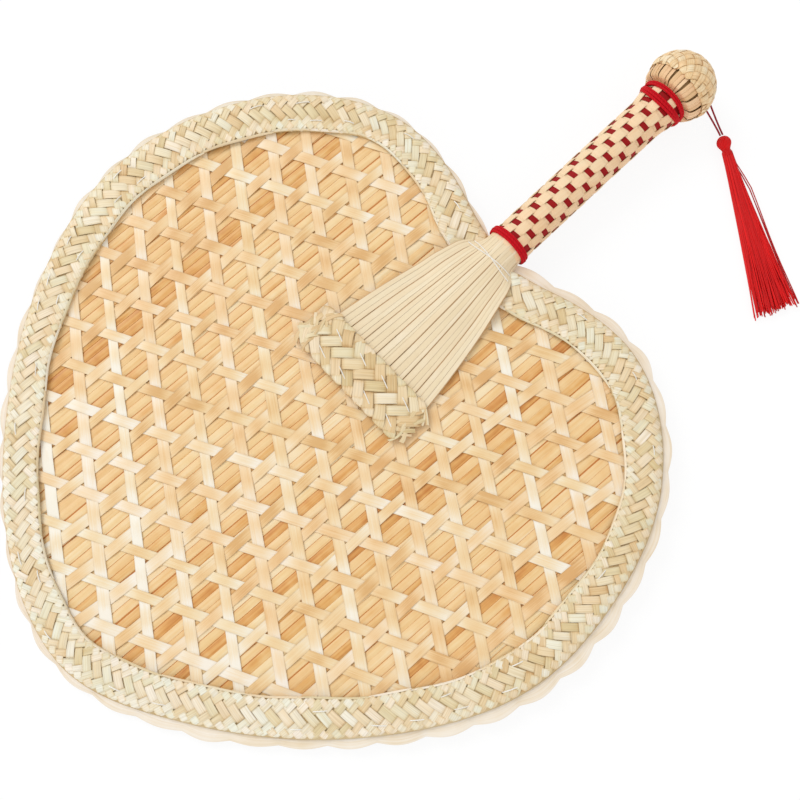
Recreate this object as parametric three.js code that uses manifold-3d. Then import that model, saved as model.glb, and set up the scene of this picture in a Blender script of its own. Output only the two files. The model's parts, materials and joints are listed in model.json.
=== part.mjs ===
// Woven straw hand fan. A heart-shaped blade of parallel straws lies between two open bamboo lattices
// and is edged with two straw plaits. A forked stick grips it. Palm strips cover the stick, woven with
// one red ribbon: they spread over the blade as a skirt at one end and over a ball at the other.
// A red tassel lies beside the knob on its loop.
// Millimetres, +Z up. The fan is modelled flat, with +Y along the handle, +Z out of its front and the
// blade's widest line at y = 0. It is then laid on its knob and on the tip of its blade.
import * as THREE from 'three';
import { mergeVertices } from 'three/addons/utils/BufferGeometryUtils.js';
import Module from 'manifold-3d';

const wasm = await Module();
wasm.setup();

// Clearances
const seat = 0.3; // between pieces that lie on each other
const stripGap = 0.4; // between neighbouring strips of the skirt

// Blade outline, a symmetrical heart
const bladeWidth = 300;
const bladeDrop = 161.7; // from the widest line to the tip
const bladeRise = 111.2; // from the widest line to the tops of the lobes
const lobeOffset = 63.4; // from the handle's axis to the top of a lobe
const cleftHalfWidth = 19.4;
const cleftDepth = 8.6; // below the tops of the lobes
const cleftSlope = 0.25;
const tipRoundness = 59.4; // lengths of the outline's curve handles
const lowerSideRoundness = 72.5;
const upperSideRoundness = 60.7;
const outerLobeRoundness = 42.5;
const innerLobeRoundness = 22;
const cleftRoundness = 7.2;
const outlineSteps = 30; // facets along half of the outline

// Blade layers
const matThickness = 1.2;
const latticeThickness = 1;
const plaitThickness = 1.6;

// Lattice of strips in three directions, which leaves hexagons open
const latticeSpacing = 16.92; // between parallel strips
const latticeStripWidth = 4.8;
const latticeTurn = THREE.MathUtils.degToRad(-2.2);
const latticeCentre = new THREE.Vector2(-8.6, 2.3); // the middle of one hexagon
const latticeBorder = 2; // from the rim's inner edge to the outermost hexagons

// Rim plaits
const rimWidth = 16.5;
const rimOverhang = 3.5; // how far the back plait's edge shows beyond the front plait
const rimRoll = 2.7; // where a plait rolls down to close the blade's edge
const rimEdgeThickness = 1;
const rimTuck = 8.5; // how far the plaits run on under the skirt

// Handle
const stickRadius = 7;
const stickHeadRadius = 8.9; // swelling under the top bindings
const tenonLength = 9; // of the stick in the knob
const gripLength = 93.9; // from the neck binding to the first top binding
const neckHeight = 102.9; // of the neck binding above the widest line
const topBindingStep = 4.3; // from the first top binding to the second
const handleTwist = THREE.MathUtils.degToRad(28); // of the strips, along the grip
const stripCount = 13; // odd, so that one ribbon goes over and under in turn
const stripWidth = 3.5;
const stripThickness = 0.6;
const weftThickness = 0.5;
const weftWidth = 2.3;
const weftPitch = 5.52;
const weftMargin = 4.5; // from the ribbon's ends to the bindings

// Yarn bindings
const yarnDiameter = 1.3;
const yarnPitch = 1.8;
const neckBindingTurns = 2;
const topBindingTurns = 1.5;

// Skirt and its patches
const skirtLength = 74.4; // from the neck binding's edge to the patch
const skirtEndWidth = 56.6;
const skirtBow = 7; // how far the skirt's sides bow outwards
const skirtTuck = 10; // how far the skirt runs on under the patch
const skirtRise = 12; // length over which the skirt rises over the rim
const patchWidth = 71;
const patchHeight = 21;
const patchThickness = 1.6;
const patchCornerRadius = 4;

// Fork that grips the blade
const forkLength = 34;
const forkTipThickness = 0.8;
const neckNotchDepth = 16.9; // of the blade's layers below the neck binding
const neckNotchHalfWidth = 12;

// Knob
const knobRise = 10.2; // of the ball's middle above the second top binding
const coreRadius = 14.6;
const capThickness = 0.65;
const capDrop = 2.6; // of the cap's edge below the ball's middle
const flareWidth = 5; // of a strip on the ball
const flareTilt = 60; // degrees, of the strips where they turn from the ball's underside to its side
const stripsReach = 0.2; // how far they run past the ball's middle, as a share of the way up to it

// Tassel, measured from the ball's middle in the plane of the floor
const loopDiameter = 1.2;
const loopBendRadius = 2.4;
const loopFacing = 0.65; // share of the bend's radius that points at the ball
const loopAzimuth = THREE.MathUtils.degToRad(45);
const loopElevation = THREE.MathUtils.degToRad(-38);
const loopSpread = 1.5; // between the middle of the loop and each leg
const loopLegInset = 0.8; // the same, at the tassel's head
const headPlace = new THREE.Vector2(28.2, 4.3);
const tasselBearing = THREE.MathUtils.degToRad(-30.3);
const headRadius = 3.25;
const headLength = 7.5;
const tasselNeckRadius = 1.8;
const tasselWrapLength = 2.6;
const tasselWrapThickness = 0.5;
const strandLength = 74.5;
const strandEndWidth = 20.8;
const strandEndThickness = 4.4;
const floorGap = 0.1; // under the tassel

// Sizes that follow from those above
const matTop = matThickness / 2;
const latticeBottom = matTop + seat;
const latticeTop = latticeBottom + latticeThickness;
const plaitBottom = latticeTop + seat;
const plaitTop = plaitBottom + plaitThickness;
const rimInner = rimOverhang + rimWidth;
const layerInset = rimOverhang + rimRoll + seat;
const stripAngle = (2 * Math.PI) / stripCount;
const underRadius = stickRadius + seat + stripThickness / 2;
const weftRadius = underRadius + stripThickness / 2 + seat + weftThickness / 2;
const overRadius = weftRadius + weftThickness / 2 + seat + stripThickness / 2;
const levelRadius = (underRadius + overRadius) / 2;
const headLevelRadius = stickHeadRadius + seat + stripThickness / 2;
const firstTopHeight = neckHeight + gripLength;
const secondTopHeight = firstTopHeight + topBindingStep;
const topBindingHalf = (topBindingTurns * yarnPitch + yarnDiameter) / 2;
const neckBindingHalf = (neckBindingTurns * yarnPitch + yarnDiameter) / 2;
const weftTurns = Math.floor((gripLength - 2 * weftMargin) / weftPitch);
const weftStart = neckHeight + (gripLength - weftTurns * weftPitch) / 2;
const crossingHalf = weftWidth / 2 + seat + weftPitch / stripCount / 2;
const flareHeight = secondTopHeight + topBindingHalf + seat + stripThickness / 2;
const stickHeadTop = flareHeight - stripThickness / 2 - seat;
const coreBottom = flareHeight + stripThickness / 2 + seat;
const knobHeight = secondTopHeight + knobRise;
const flareRadius = coreRadius + seat + stripThickness / 2;
const capInner = Math.hypot(flareRadius + stripThickness / 2, flareWidth / 2) + seat;
const capOuter = capInner + capThickness;
const underside = THREE.MathUtils.radToDeg(Math.asin((flareHeight - knobHeight) / flareRadius));
const skirtTop = neckHeight - neckBindingHalf;
const skirtFlat = plaitBottom + stripThickness / 2;
const skirtEnd = skirtTop - skirtLength - skirtTuck;
const notchHeight = neckHeight - neckNotchDepth;
const slotRoot = notchHeight + seat;
const forkEnd = slotRoot - forkLength;
const forkTip = plaitBottom + forkTipThickness;

// Colours
const paleBamboo = { color: 0xf0dcb4, roughness: 0.5 };
const goldenStraw = { color: 0xe8be7e, roughness: 0.55 };
const plaitStraw = { color: 0xe9d5ac, roughness: 0.6 };
const palmStrip = { color: 0xe9d2a9, roughness: 0.6 };
const knobStraw = { color: 0xdcbb84, roughness: 0.65 };
const stickWood = { color: 0xc9a36a, roughness: 0.7 };
const redYarn = { color: 0xc4122a, roughness: 0.8 };
const redSilk = { color: 0xd8141f, roughness: 0.45 };

// Helpers for closed solids

/** Merges a closed geometry's vertices, drops empty triangles and turns its faces outwards. */
function closed(geometry) {
  geometry.deleteAttribute('normal');
  geometry.deleteAttribute('uv');
  const merged = mergeVertices(geometry, 1e-4);
  const place = merged.getAttribute('position');
  const corner = [0, 1, 2].map(() => new THREE.Vector3());
  const faces = [];
  let volume = 0;
  for (let start = 0; start < merged.index.count; start += 3) {
    const face = [0, 1, 2].map((offset) => merged.index.getX(start + offset));
    if (new Set(face).size < 3) continue;
    face.forEach((vertex, offset) => corner[offset].fromBufferAttribute(place, vertex));
    volume += corner[0].dot(corner[1].clone().cross(corner[2]));
    faces.push(face);
  }
  const outward = volume > 0 ? faces : faces.map(([a, b, c]) => [a, c, b]);
  merged.setIndex(outward.flat());
  merged.computeVertexNormals();
  return merged;
}

/** Joins rings of points, each a closed section, into a tube with a cap at each end. */
function loft(rings, section) {
  const count = section.length;
  const last = (rings.length - 1) * count;
  const faces = [];
  for (let ring = 0; ring < rings.length - 1; ring += 1) {
    for (let side = 0; side < count; side += 1) {
      const a = ring * count + side;
      const b = ring * count + ((side + 1) % count);
      faces.push(a, b, b + count, a, b + count, a + count);
    }
  }
  const isClockWise = THREE.ShapeUtils.isClockWise(section);
  for (const face of THREE.ShapeUtils.triangulateShape(section, [])) {
    const [a, b, c] = isClockWise ? face.reverse() : face;
    faces.push(c, b, a, last + a, last + b, last + c);
  }
  const geometry = new THREE.BufferGeometry().setFromPoints(rings.flat());
  geometry.setIndex(faces);
  return closed(geometry);
}

const ribbonSection = [
  new THREE.Vector2(-0.5, -0.5),
  new THREE.Vector2(0.5, -0.5),
  new THREE.Vector2(0.5, 0.5),
  new THREE.Vector2(-0.5, 0.5),
];

/** One ring of a flat ribbon: `across` runs over its width and `out` through its thickness. */
function ribbonRing({ centre, across, out, width }, thickness) {
  return ribbonSection.map(({ x, y }) =>
    centre.clone().addScaledVector(across, x * width).addScaledVector(out, y * thickness));
}

/** A flat outline with holes, extruded upwards from a height. */
function plate(shape, bottom, thickness) {
  const geometry = new THREE.ExtrudeGeometry(shape, { depth: thickness, bevelEnabled: false });
  return closed(geometry.translate(0, 0, bottom));
}

/** The least distance between the points of rings that are more than half a turn apart. */
function leastGap(rings, stepsPerTurn) {
  let least = Infinity;
  for (let first = 0; first < rings.length; first += 1) {
    for (let second = first + Math.ceil(stepsPerTurn / 2); second < rings.length; second += 1) {
      for (const a of rings[first]) {
        for (const b of rings[second]) least = Math.min(least, a.distanceTo(b));
      }
    }
  }
  return least;
}

/** Turns a closed geometry into a solid that can be joined and cut. */
function toSolid(geometry) {
  const mesh = new wasm.Mesh({
    numProp: 3,
    vertProperties: new Float32Array(geometry.getAttribute('position').array),
    triVerts: new Uint32Array(geometry.index.array),
  });
  return new wasm.Manifold(mesh);
}

/** Turns a solid back into a geometry. */
function toGeometry(solid) {
  const { vertProperties, triVerts } = solid.getMesh();
  const geometry = new THREE.BufferGeometry();
  geometry.setAttribute('position', new THREE.BufferAttribute(new Float32Array(vertProperties), 3));
  geometry.setIndex(Array.from(triVerts));
  return closed(geometry);
}

function piece(name, geometry, finish) {
  const mesh = new THREE.Mesh(geometry, new THREE.MeshStandardMaterial({ metalness: 0, ...finish }));
  mesh.name = name;
  return mesh;
}

const mix = THREE.MathUtils.lerp;
const ease = THREE.MathUtils.smoothstep;

// Blade

/** The right half of the heart, from the tip to the cleft. */
function halfHeart() {
  const side = bladeWidth / 2;
  const tip = new THREE.Vector2(0, -bladeDrop);
  const widest = new THREE.Vector2(side, 0);
  const lobe = new THREE.Vector2(lobeOffset, bladeRise);
  const cleft = new THREE.Vector2(cleftHalfWidth, bladeRise - cleftDepth);
  const beside = (point, x, y) => point.clone().add(new THREE.Vector2(x, y));
  const path = new THREE.CurvePath();
  path.add(new THREE.CubicBezierCurve(
    tip, beside(tip, tipRoundness, 0), beside(widest, 0, -lowerSideRoundness), widest));
  path.add(new THREE.CubicBezierCurve(
    widest, beside(widest, 0, upperSideRoundness), beside(lobe, outerLobeRoundness, 0), lobe));
  path.add(new THREE.CubicBezierCurve(
    lobe,
    beside(lobe, -innerLobeRoundness, 0),
    beside(cleft, cleftRoundness, cleftSlope * cleftRoundness),
    cleft));
  return path;
}

/** Points along a half outline with the direction into the blade, the first just beside the tip. */
function outlineStations(path) {
  return Array.from({ length: outlineSteps }, (_, step) => {
    const along = (step + 0.5) / (outlineSteps - 0.5);
    const tangent = path.getTangent(along);
    return { point: path.getPoint(along), inward: new THREE.Vector2(-tangent.y, tangent.x) };
  });
}

/** The outline of the blade's layers, drawn in from the heart and notched at the neck. */
function layerOutline(inset) {
  const right = outlineStations(halfHeart())
    .map(({ point, inward }) => point.clone().addScaledVector(inward, inset));
  right.push(new THREE.Vector2(neckNotchHalfWidth, notchHeight));
  const left = right.map(({ x, y }) => new THREE.Vector2(-x, y)).reverse();
  return [...right, ...left];
}

function isInside(point, outline) {
  let inside = false;
  outline.forEach((a, index) => {
    const b = outline[(index + 1) % outline.length];
    if (a.y > point.y === b.y > point.y) return;
    if (point.x < a.x + ((point.y - a.y) / (b.y - a.y)) * (b.x - a.x)) inside = !inside;
  });
  return inside;
}

/** The open hexagons of the lattice that show inside the rim and beside the skirt. */
function latticeHexagons() {
  const apothem = (latticeSpacing - latticeStripWidth) / 2;
  const centreStep = (2 * latticeSpacing) / Math.sqrt(3);
  const cornerRadius = (2 * apothem) / Math.sqrt(3);
  const turned = (length, degrees) => new THREE.Vector2(length, 0)
    .rotateAround(new THREE.Vector2(), THREE.MathUtils.degToRad(degrees) + latticeTurn);
  const shown = layerOutline(rimInner + latticeBorder);
  const isUnderSkirt = ({ x, y }) => y > skirtEnd && Math.abs(x) < skirtHalfWidth(y);
  const reach = Math.ceil((bladeDrop + bladeRise + bladeWidth) / centreStep);
  const hexagons = [];
  for (let row = -reach; row <= reach; row += 1) {
    for (let column = -reach; column <= reach; column += 1) {
      const centre = latticeCentre.clone()
        .addScaledVector(turned(centreStep, 30), column)
        .addScaledVector(turned(centreStep, 90), row);
      const corners = [30, 90, 150, 210, 270, 330]
        .map((degrees) => centre.clone().add(turned(cornerRadius, degrees)));
      const shows = corners.every((corner) => isInside(corner, shown));
      if (shows && !isUnderSkirt(centre)) hexagons.push(corners);
    }
  }
  return hexagons;
}

function matGeometry() {
  return plate(new THREE.Shape(layerOutline(layerInset)), -matTop, matThickness);
}

function latticeGeometry(bottom) {
  const shape = new THREE.Shape(layerOutline(layerInset));
  shape.holes = latticeHexagons().map((corners) => new THREE.Path(corners));
  return plate(shape, bottom, latticeThickness);
}

/** A plait round the blade's edge: its section gives the distance in from the outline and the height. */
function rimGeometry(section) {
  const path = halfHeart();
  const cleft = path.getPoint(1);
  path.add(new THREE.LineCurve(cleft, cleft.clone().addScaledVector(path.getTangent(1), rimTuck)));
  const right = outlineStations(path);
  const mirrored = ({ x, y }) => new THREE.Vector2(-x, y);
  const left = right
    .map(({ point, inward }) => ({ point: mirrored(point), inward: mirrored(inward) }))
    .reverse();
  const rings = [...left, ...right].map(({ point, inward }) => section.map(({ x: inset, y: height }) => {
    const place = point.clone().addScaledVector(inward, inset);
    return new THREE.Vector3(place.x, place.y, height);
  }));
  return loft(rings, section);
}

const frontRimSection = [
  new THREE.Vector2(rimInner, plaitBottom),
  new THREE.Vector2(rimOverhang + rimRoll, plaitBottom),
  new THREE.Vector2(rimOverhang, seat / 2),
  new THREE.Vector2(rimOverhang, seat / 2 + rimEdgeThickness),
  new THREE.Vector2(rimOverhang + rimRoll, plaitTop),
  new THREE.Vector2(rimInner, plaitTop),
];

const backRimSection = [
  new THREE.Vector2(rimInner, -plaitBottom),
  new THREE.Vector2(rimOverhang + rimRoll, -plaitBottom),
  new THREE.Vector2(rimOverhang, -seat / 2),
  new THREE.Vector2(0, -seat / 2),
  new THREE.Vector2(0, -seat / 2 - rimEdgeThickness),
  new THREE.Vector2(rimOverhang, -seat / 2 - rimEdgeThickness),
  new THREE.Vector2(rimOverhang + rimRoll, -plaitTop),
  new THREE.Vector2(rimInner, -plaitTop),
];

function patchGeometry(bottom) {
  const right = patchWidth / 2;
  const top = patchHeight / 2;
  const radius = patchCornerRadius;
  const shape = new THREE.Shape();
  shape.absarc(right - radius, top - radius, radius, 0, Math.PI / 2);
  shape.absarc(radius - right, top - radius, radius, Math.PI / 2, Math.PI);
  shape.absarc(radius - right, radius - top, radius, Math.PI, 1.5 * Math.PI);
  shape.absarc(right - radius, radius - top, radius, 1.5 * Math.PI, 2 * Math.PI);
  const middle = skirtTop - skirtLength - patchHeight / 2;
  const geometry = new THREE.ExtrudeGeometry(
    shape, { depth: patchThickness, bevelEnabled: false, curveSegments: 3 });
  return closed(geometry.translate(0, middle, bottom));
}

// Handle

/** A prism whose outline is drawn in the plane of the handle and the blade's normal. */
function sidePrism(points, width) {
  const shape = new THREE.Shape(points.map(([along, height]) => new THREE.Vector2(along, height)));
  const geometry = new THREE.ExtrudeGeometry(shape, { depth: width, bevelEnabled: false });
  geometry.translate(0, 0, -width / 2);
  geometry.applyMatrix4(new THREE.Matrix4().makeBasis(
    new THREE.Vector3(0, 1, 0), new THREE.Vector3(0, 0, 1), new THREE.Vector3(1, 0, 0)));
  return toSolid(closed(geometry));
}

/** The stick: a fork with tapered tines, the grip, a swelling under the top bindings and a tenon. */
function stickGeometry() {
  const swellLength = (stickHeadRadius - stickRadius) / 2;
  const headFull = firstTopHeight - topBindingHalf;
  const profile = [
    [0, forkEnd],
    [stickRadius, forkEnd],
    [stickRadius, headFull - swellLength],
    [stickHeadRadius, headFull],
    [stickHeadRadius, stickHeadTop],
    [stickRadius, stickHeadTop],
    [stickRadius, coreBottom + tenonLength],
    [0, coreBottom + tenonLength],
  ];
  const turned = new THREE.LatheGeometry(profile.map(([x, y]) => new THREE.Vector2(x, y)), 2 * stripCount);
  const width = 4 * stickHeadRadius;
  const high = 2 * stickHeadRadius;
  const beyond = forkEnd - forkTip;
  const slot = sidePrism([
    [beyond, -plaitBottom],
    [slotRoot, -plaitBottom],
    [slotRoot, plaitBottom],
    [beyond, plaitBottom],
  ], width);
  const taper = (side) => sidePrism([
    [beyond, side * high],
    [beyond, side * forkTip],
    [forkEnd, side * forkTip],
    [skirtTop, side * stickRadius],
    [skirtTop, side * high],
  ], width);
  return toGeometry(toSolid(closed(turned)).subtract(slot).subtract(taper(1)).subtract(taper(-1)));
}

/** Where a strip's middle lies round the handle: its angle from the front and its twist with height. */
function stripBearing(index, height) {
  const twisted = THREE.MathUtils.clamp((height - neckHeight) / gripLength, 0, 1);
  return (index - (stripCount - 1) / 2) * stripAngle + handleTwist * twisted;
}

/** A point beside the handle's axis, at a distance, a bearing from the front and a height. */
function aroundHandle(radius, bearing, height) {
  return new THREE.Vector3(radius * Math.sin(bearing), height, radius * Math.cos(bearing));
}

/** A strip's station on the handle: `lean` turns its face from outwards towards the blade. */
function handleStation(index, radius, height, width, lean = 0) {
  const bearing = stripBearing(index, height);
  const out = aroundHandle(Math.cos(lean), bearing, -Math.sin(lean));
  const across = new THREE.Vector3(Math.cos(bearing), 0, -Math.sin(bearing));
  return { centre: aroundHandle(radius, bearing, height), across, out, width };
}

/** Half the skirt's width at a height on the blade. */
function skirtHalfWidth(height) {
  const along = (skirtTop - height) / skirtLength;
  const neckHalf = overRadius + seat + stripThickness + yarnDiameter;
  return mix(neckHalf, skirtEndWidth / 2, along) + skirtBow * along * (1 - along);
}

/** How high the skirt lies over the fork at its middle and over the rim at its sides. */
function skirtHeights(height) {
  const onFork = stripThickness / 2 + seat;
  const slope = (levelRadius - forkTip - onFork) / (skirtTop - forkEnd);
  const middle = Math.max(skirtFlat, forkTip + onFork + slope * (height - forkEnd));
  const overRim = plaitTop + seat + 2 * stripThickness - skirtFlat;
  const rimReach = notchHeight - neckNotchHalfWidth + rimRoll;
  const side = skirtFlat + overRim * ease(height, rimReach - skirtRise, rimReach);
  return { middle: Math.max(middle, side), side };
}

/** A strip's station in the skirt. `place` is -1 to 1 over the skirt, and `face` is 1 on the front. */
function skirtStation(index, place, count, face, height) {
  const half = skirtHalfWidth(height);
  const flatWidth = (2 * half) / count - stripGap;
  const reach = half - flatWidth / 2;
  const { middle, side } = skirtHeights(height);
  const drop = middle - side;
  const spread = 1 - ease(height, notchHeight, skirtTop);
  const bearing = stripBearing(index, height);
  const frontBearing = face > 0 ? bearing : Math.sign(bearing) * (Math.PI - Math.abs(bearing));
  const crown = 1 - place * place;
  const slope = Math.atan((4 * drop * place * crown) / reach);
  const tilt = mix(frontBearing, slope, spread);
  const centre = new THREE.Vector3(
    mix(levelRadius * Math.sin(frontBearing), place * reach, spread),
    height,
    face * mix(levelRadius * Math.cos(frontBearing), side + drop * crown * crown, spread));
  return {
    centre,
    across: new THREE.Vector3(face * Math.cos(tilt), 0, -Math.sin(tilt)),
    out: new THREE.Vector3(Math.sin(tilt), 0, face * Math.cos(tilt)),
    width: mix(stripWidth, flatWidth, spread),
  };
}

/** One palm strip: the skirt, the neck, over and under the weft, the top bindings and the ball. */
function stripGeometry(index) {
  const stations = [];
  const isFront = Math.abs(stripBearing(index, neckHeight)) < Math.PI / 2;
  const face = isFront ? 1 : -1;
  const sideIndexes = Array.from({ length: stripCount }, (_, other) => other)
    .filter((other) => Math.abs(stripBearing(other, neckHeight)) < Math.PI / 2 === isFront);
  const frontBearing = (other) => {
    const bearing = stripBearing(other, neckHeight);
    return isFront ? bearing : Math.sign(bearing) * (Math.PI - Math.abs(bearing));
  };
  const widest = Math.max(...sideIndexes.map(frontBearing));
  const place = frontBearing(index) / widest;
  const flatSteps = 6;
  const spreadSteps = 3;
  for (let step = 0; step <= flatSteps; step += 1) {
    const height = mix(skirtEnd, notchHeight, step / flatSteps);
    stations.push(skirtStation(index, place, sideIndexes.length, face, height));
  }
  for (let step = 1; step <= spreadSteps; step += 1) {
    const height = mix(notchHeight, skirtTop, step / spreadSteps);
    stations.push(skirtStation(index, place, sideIndexes.length, face, height));
  }
  stations.push(handleStation(index, levelRadius, neckHeight + neckBindingHalf, stripWidth));
  for (let crossing = index || stripCount; crossing <= weftTurns * stripCount; crossing += stripCount) {
    const height = weftStart + (weftPitch * (crossing - 0.5)) / stripCount;
    const radius = crossing % 2 ? overRadius : underRadius;
    stations.push(handleStation(index, radius, height - crossingHalf, stripWidth));
    stations.push(handleStation(index, radius, height + crossingHalf, stripWidth));
  }
  const ballPoint = (degrees, lean, width) => {
    const angle = THREE.MathUtils.degToRad(degrees);
    const radius = flareRadius * Math.cos(angle);
    const height = knobHeight + flareRadius * Math.sin(angle);
    return handleStation(index, radius, height, width, THREE.MathUtils.degToRad(lean));
  };
  const onBall = (degrees) => ballPoint(degrees, -degrees, flareWidth);
  const turnRadius = headLevelRadius + stripThickness / 2;
  const edgeRadius = Math.sqrt(flareRadius ** 2 - (flareHeight - knobHeight) ** 2);
  stations.push(
    handleStation(index, headLevelRadius, firstTopHeight - topBindingHalf, stripWidth),
    handleStation(index, headLevelRadius, secondTopHeight + topBindingHalf - seat, stripWidth),
    handleStation(index, turnRadius, flareHeight - stripThickness / 2, stripWidth, Math.PI / 4),
    handleStation(
      index, (headLevelRadius + edgeRadius) / 2, flareHeight, (stripWidth + flareWidth) / 2, Math.PI / 2),
    ballPoint(underside, flareTilt, flareWidth),
    onBall(underside * 0.65),
    onBall(underside * 0.25),
    onBall(-underside * stripsReach),
  );
  return loft(stations.map((station) => ribbonRing(station, stripThickness)), ribbonSection);
}

/** The red ribbon: each of its flat lengths lies over or under one strip. */
function weftGeometry() {
  const radius = weftRadius / Math.cos(stripAngle / 2);
  const thickness = weftThickness / Math.cos(stripAngle / 2);
  const rings = [];
  for (let step = 0; step <= weftTurns * stripCount; step += 1) {
    const height = weftStart + (weftPitch * step) / stripCount;
    const bearing = stripBearing(step + 0.5, height);
    rings.push(ribbonRing({
      centre: aroundHandle(radius, bearing, height),
      across: new THREE.Vector3(0, 1, 0),
      out: aroundHandle(1, bearing, 0),
      width: weftWidth,
    }, thickness));
  }
  console.log(`red_weft: least gap between turns ${leastGap(rings, stripCount).toFixed(2)} mm`);
  return loft(rings, ribbonSection);
}

/** A yarn winding on the strips: one helix with a short straight run at each end. */
function bindingGeometry(name, stripRadius, middle, turns) {
  const sides = 6;
  const stepsPerTurn = 16;
  const section = Array.from({ length: sides }, (_, side) => {
    const angle = ((side + 0.5) / sides) * 2 * Math.PI;
    return new THREE.Vector2(Math.cos(angle), Math.sin(angle)).multiplyScalar(yarnDiameter / 2);
  });
  const stripCorner = Math.hypot(stripRadius + stripThickness / 2, stripWidth / 2);
  const radius = (stripCorner + yarnDiameter / 2) / Math.cos(Math.PI / stepsPerTurn) + seat / 2;
  const ring = (centre, bearing) => section.map(({ x, y }) => centre.clone()
    .addScaledVector(aroundHandle(1, bearing, 0), x)
    .add(new THREE.Vector3(0, y, 0)));
  const rings = [];
  const steps = turns * stepsPerTurn;
  for (let step = 0; step <= steps; step += 1) {
    const bearing = (2 * Math.PI * step) / stepsPerTurn;
    const height = middle + yarnPitch * (step / stepsPerTurn - turns / 2);
    const centre = aroundHandle(radius, bearing, height);
    const onward = aroundHandle(1, bearing + Math.PI / 2, 0).multiplyScalar(yarnDiameter);
    if (step === 0) rings.push(ring(centre.clone().sub(onward), bearing));
    rings.push(ring(centre, bearing));
    if (step === steps) rings.push(ring(centre.clone().add(onward), bearing));
  }
  console.log(`${name}: least gap between turns ${leastGap(rings, stepsPerTurn).toFixed(2)} mm`);
  return loft(rings, section);
}

// Knob

/** Points on an arc about the ball's middle, as distances from the axis and heights. */
function ballArc(radius, fromDegrees, toDegrees, steps) {
  return Array.from({ length: steps + 1 }, (_, step) => {
    const angle = THREE.MathUtils.degToRad(mix(fromDegrees, toDegrees, step / steps));
    return new THREE.Vector2(Math.max(0, radius * Math.cos(angle)), knobHeight + radius * Math.sin(angle));
  });
}

const degreesAt = (radius, height) =>
  THREE.MathUtils.radToDeg(Math.asin(THREE.MathUtils.clamp((height - knobHeight) / radius, -1, 1)));

/** The ball: bored for the stick, flat underneath, and drawn in where the strips lie on it. */
function coreGeometry() {
  const bore = stickRadius + seat;
  const boreEnd = coreBottom + tenonLength + seat;
  const stripsEndAngle = THREE.MathUtils.degToRad(-underside * stripsReach);
  const stripsEnd = knobHeight + flareRadius * Math.sin(stripsEndAngle) + 2 * seat;
  const shoulder = capInner - seat;
  const profile = [
    new THREE.Vector2(0, boreEnd),
    new THREE.Vector2(bore, boreEnd),
    new THREE.Vector2(bore, coreBottom),
    ...ballArc(coreRadius, degreesAt(coreRadius, coreBottom), degreesAt(coreRadius, stripsEnd), 4),
    ...ballArc(shoulder, degreesAt(shoulder, stripsEnd), 90, 6),
  ];
  return closed(new THREE.LatheGeometry(profile, stripCount));
}

/** The woven cap: a dome with an open edge over the ends of the strips. */
function capGeometry() {
  const outerEdge = degreesAt(capOuter, knobHeight - capDrop);
  const innerEdge = degreesAt(capInner, knobHeight - capDrop);
  const profile = [
    ...ballArc(capInner, innerEdge, 0, 1).slice(0, 1),
    ...ballArc(capOuter, outerEdge, 0, 1).slice(0, 1),
    ...ballArc(capOuter, 0, 90, 6),
  ];
  profile.push(...ballArc(capInner, 90, 0, 5), profile[0].clone());
  return closed(new THREE.LatheGeometry(profile, 2 * stripCount));
}

// Tassel, in the floor's frame with the ball's middle at the origin

const floor = -capOuter;
const headMiddle = floor + headRadius + floorGap;
const tasselDirection = new THREE.Vector3(Math.cos(tasselBearing), Math.sin(tasselBearing), 0);
const headTop = new THREE.Vector3(headPlace.x, headPlace.y, headMiddle);
const bendMiddle = new THREE.Vector3().setFromSphericalCoords(
  capOuter + seat + loopDiameter / 2 + loopFacing * loopBendRadius, Math.PI / 2 - loopElevation, 0);
bendMiddle.set(
  bendMiddle.z * Math.cos(loopAzimuth), bendMiddle.z * Math.sin(loopAzimuth), bendMiddle.y);

/** The loop: out from the head to a bend behind the ball and back again. */
function loopGeometry() {
  const end = headTop.clone().addScaledVector(tasselDirection, -2 * seat);
  const run = end.clone().sub(bendMiddle).normalize();
  const beside = new THREE.Vector3(-run.y, run.x, 0).normalize();
  const along = (share, offset) => bendMiddle.clone().lerp(end, share).addScaledVector(beside, offset);
  const bend = (degrees) => {
    const angle = THREE.MathUtils.degToRad(degrees);
    return bendMiddle.clone()
      .addScaledVector(run, -loopBendRadius * Math.cos(angle))
      .addScaledVector(beside, loopBendRadius * Math.sin(angle));
  };
  const path = new THREE.CatmullRomCurve3([
    along(1, -loopLegInset),
    along(0.75, -loopSpread),
    along(0.3, -(loopSpread + loopBendRadius) / 2),
    bend(-90), bend(-45), bend(0), bend(45), bend(90),
    along(0.3, (loopSpread + loopBendRadius) / 2),
    along(0.75, loopSpread),
    along(1, loopLegInset),
  ]);
  const section = new THREE.Shape();
  section.absarc(0, 0, loopDiameter / 2, 0, 2 * Math.PI);
  const geometry = new THREE.ExtrudeGeometry(
    section, { steps: 24, curveSegments: 4, bevelEnabled: false, extrudePath: path });
  return closed(geometry);
}

/** Turns a lathe made about +Y so that it lies along the tassel from a distance below the head's top. */
function layAlongTassel(geometry, distance) {
  geometry.applyQuaternion(new THREE.Quaternion().setFromUnitVectors(
    new THREE.Vector3(0, 1, 0), tasselDirection));
  const place = headTop.clone().addScaledVector(tasselDirection, distance);
  return closed(geometry.translate(place.x, place.y, place.z));
}

function tasselHeadGeometry() {
  const profile = new THREE.Path();
  profile.moveTo(0, 0);
  profile.bezierCurveTo(headRadius / 2, 0, headRadius, headLength / 4, headRadius, headLength / 2);
  profile.lineTo(tasselNeckRadius, headLength);
  profile.lineTo(tasselNeckRadius, headLength + tasselWrapLength + 2 * seat);
  profile.lineTo(0, headLength + tasselWrapLength + 2 * seat);
  return layAlongTassel(new THREE.LatheGeometry(profile.getPoints(6), 16), 0);
}

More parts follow.
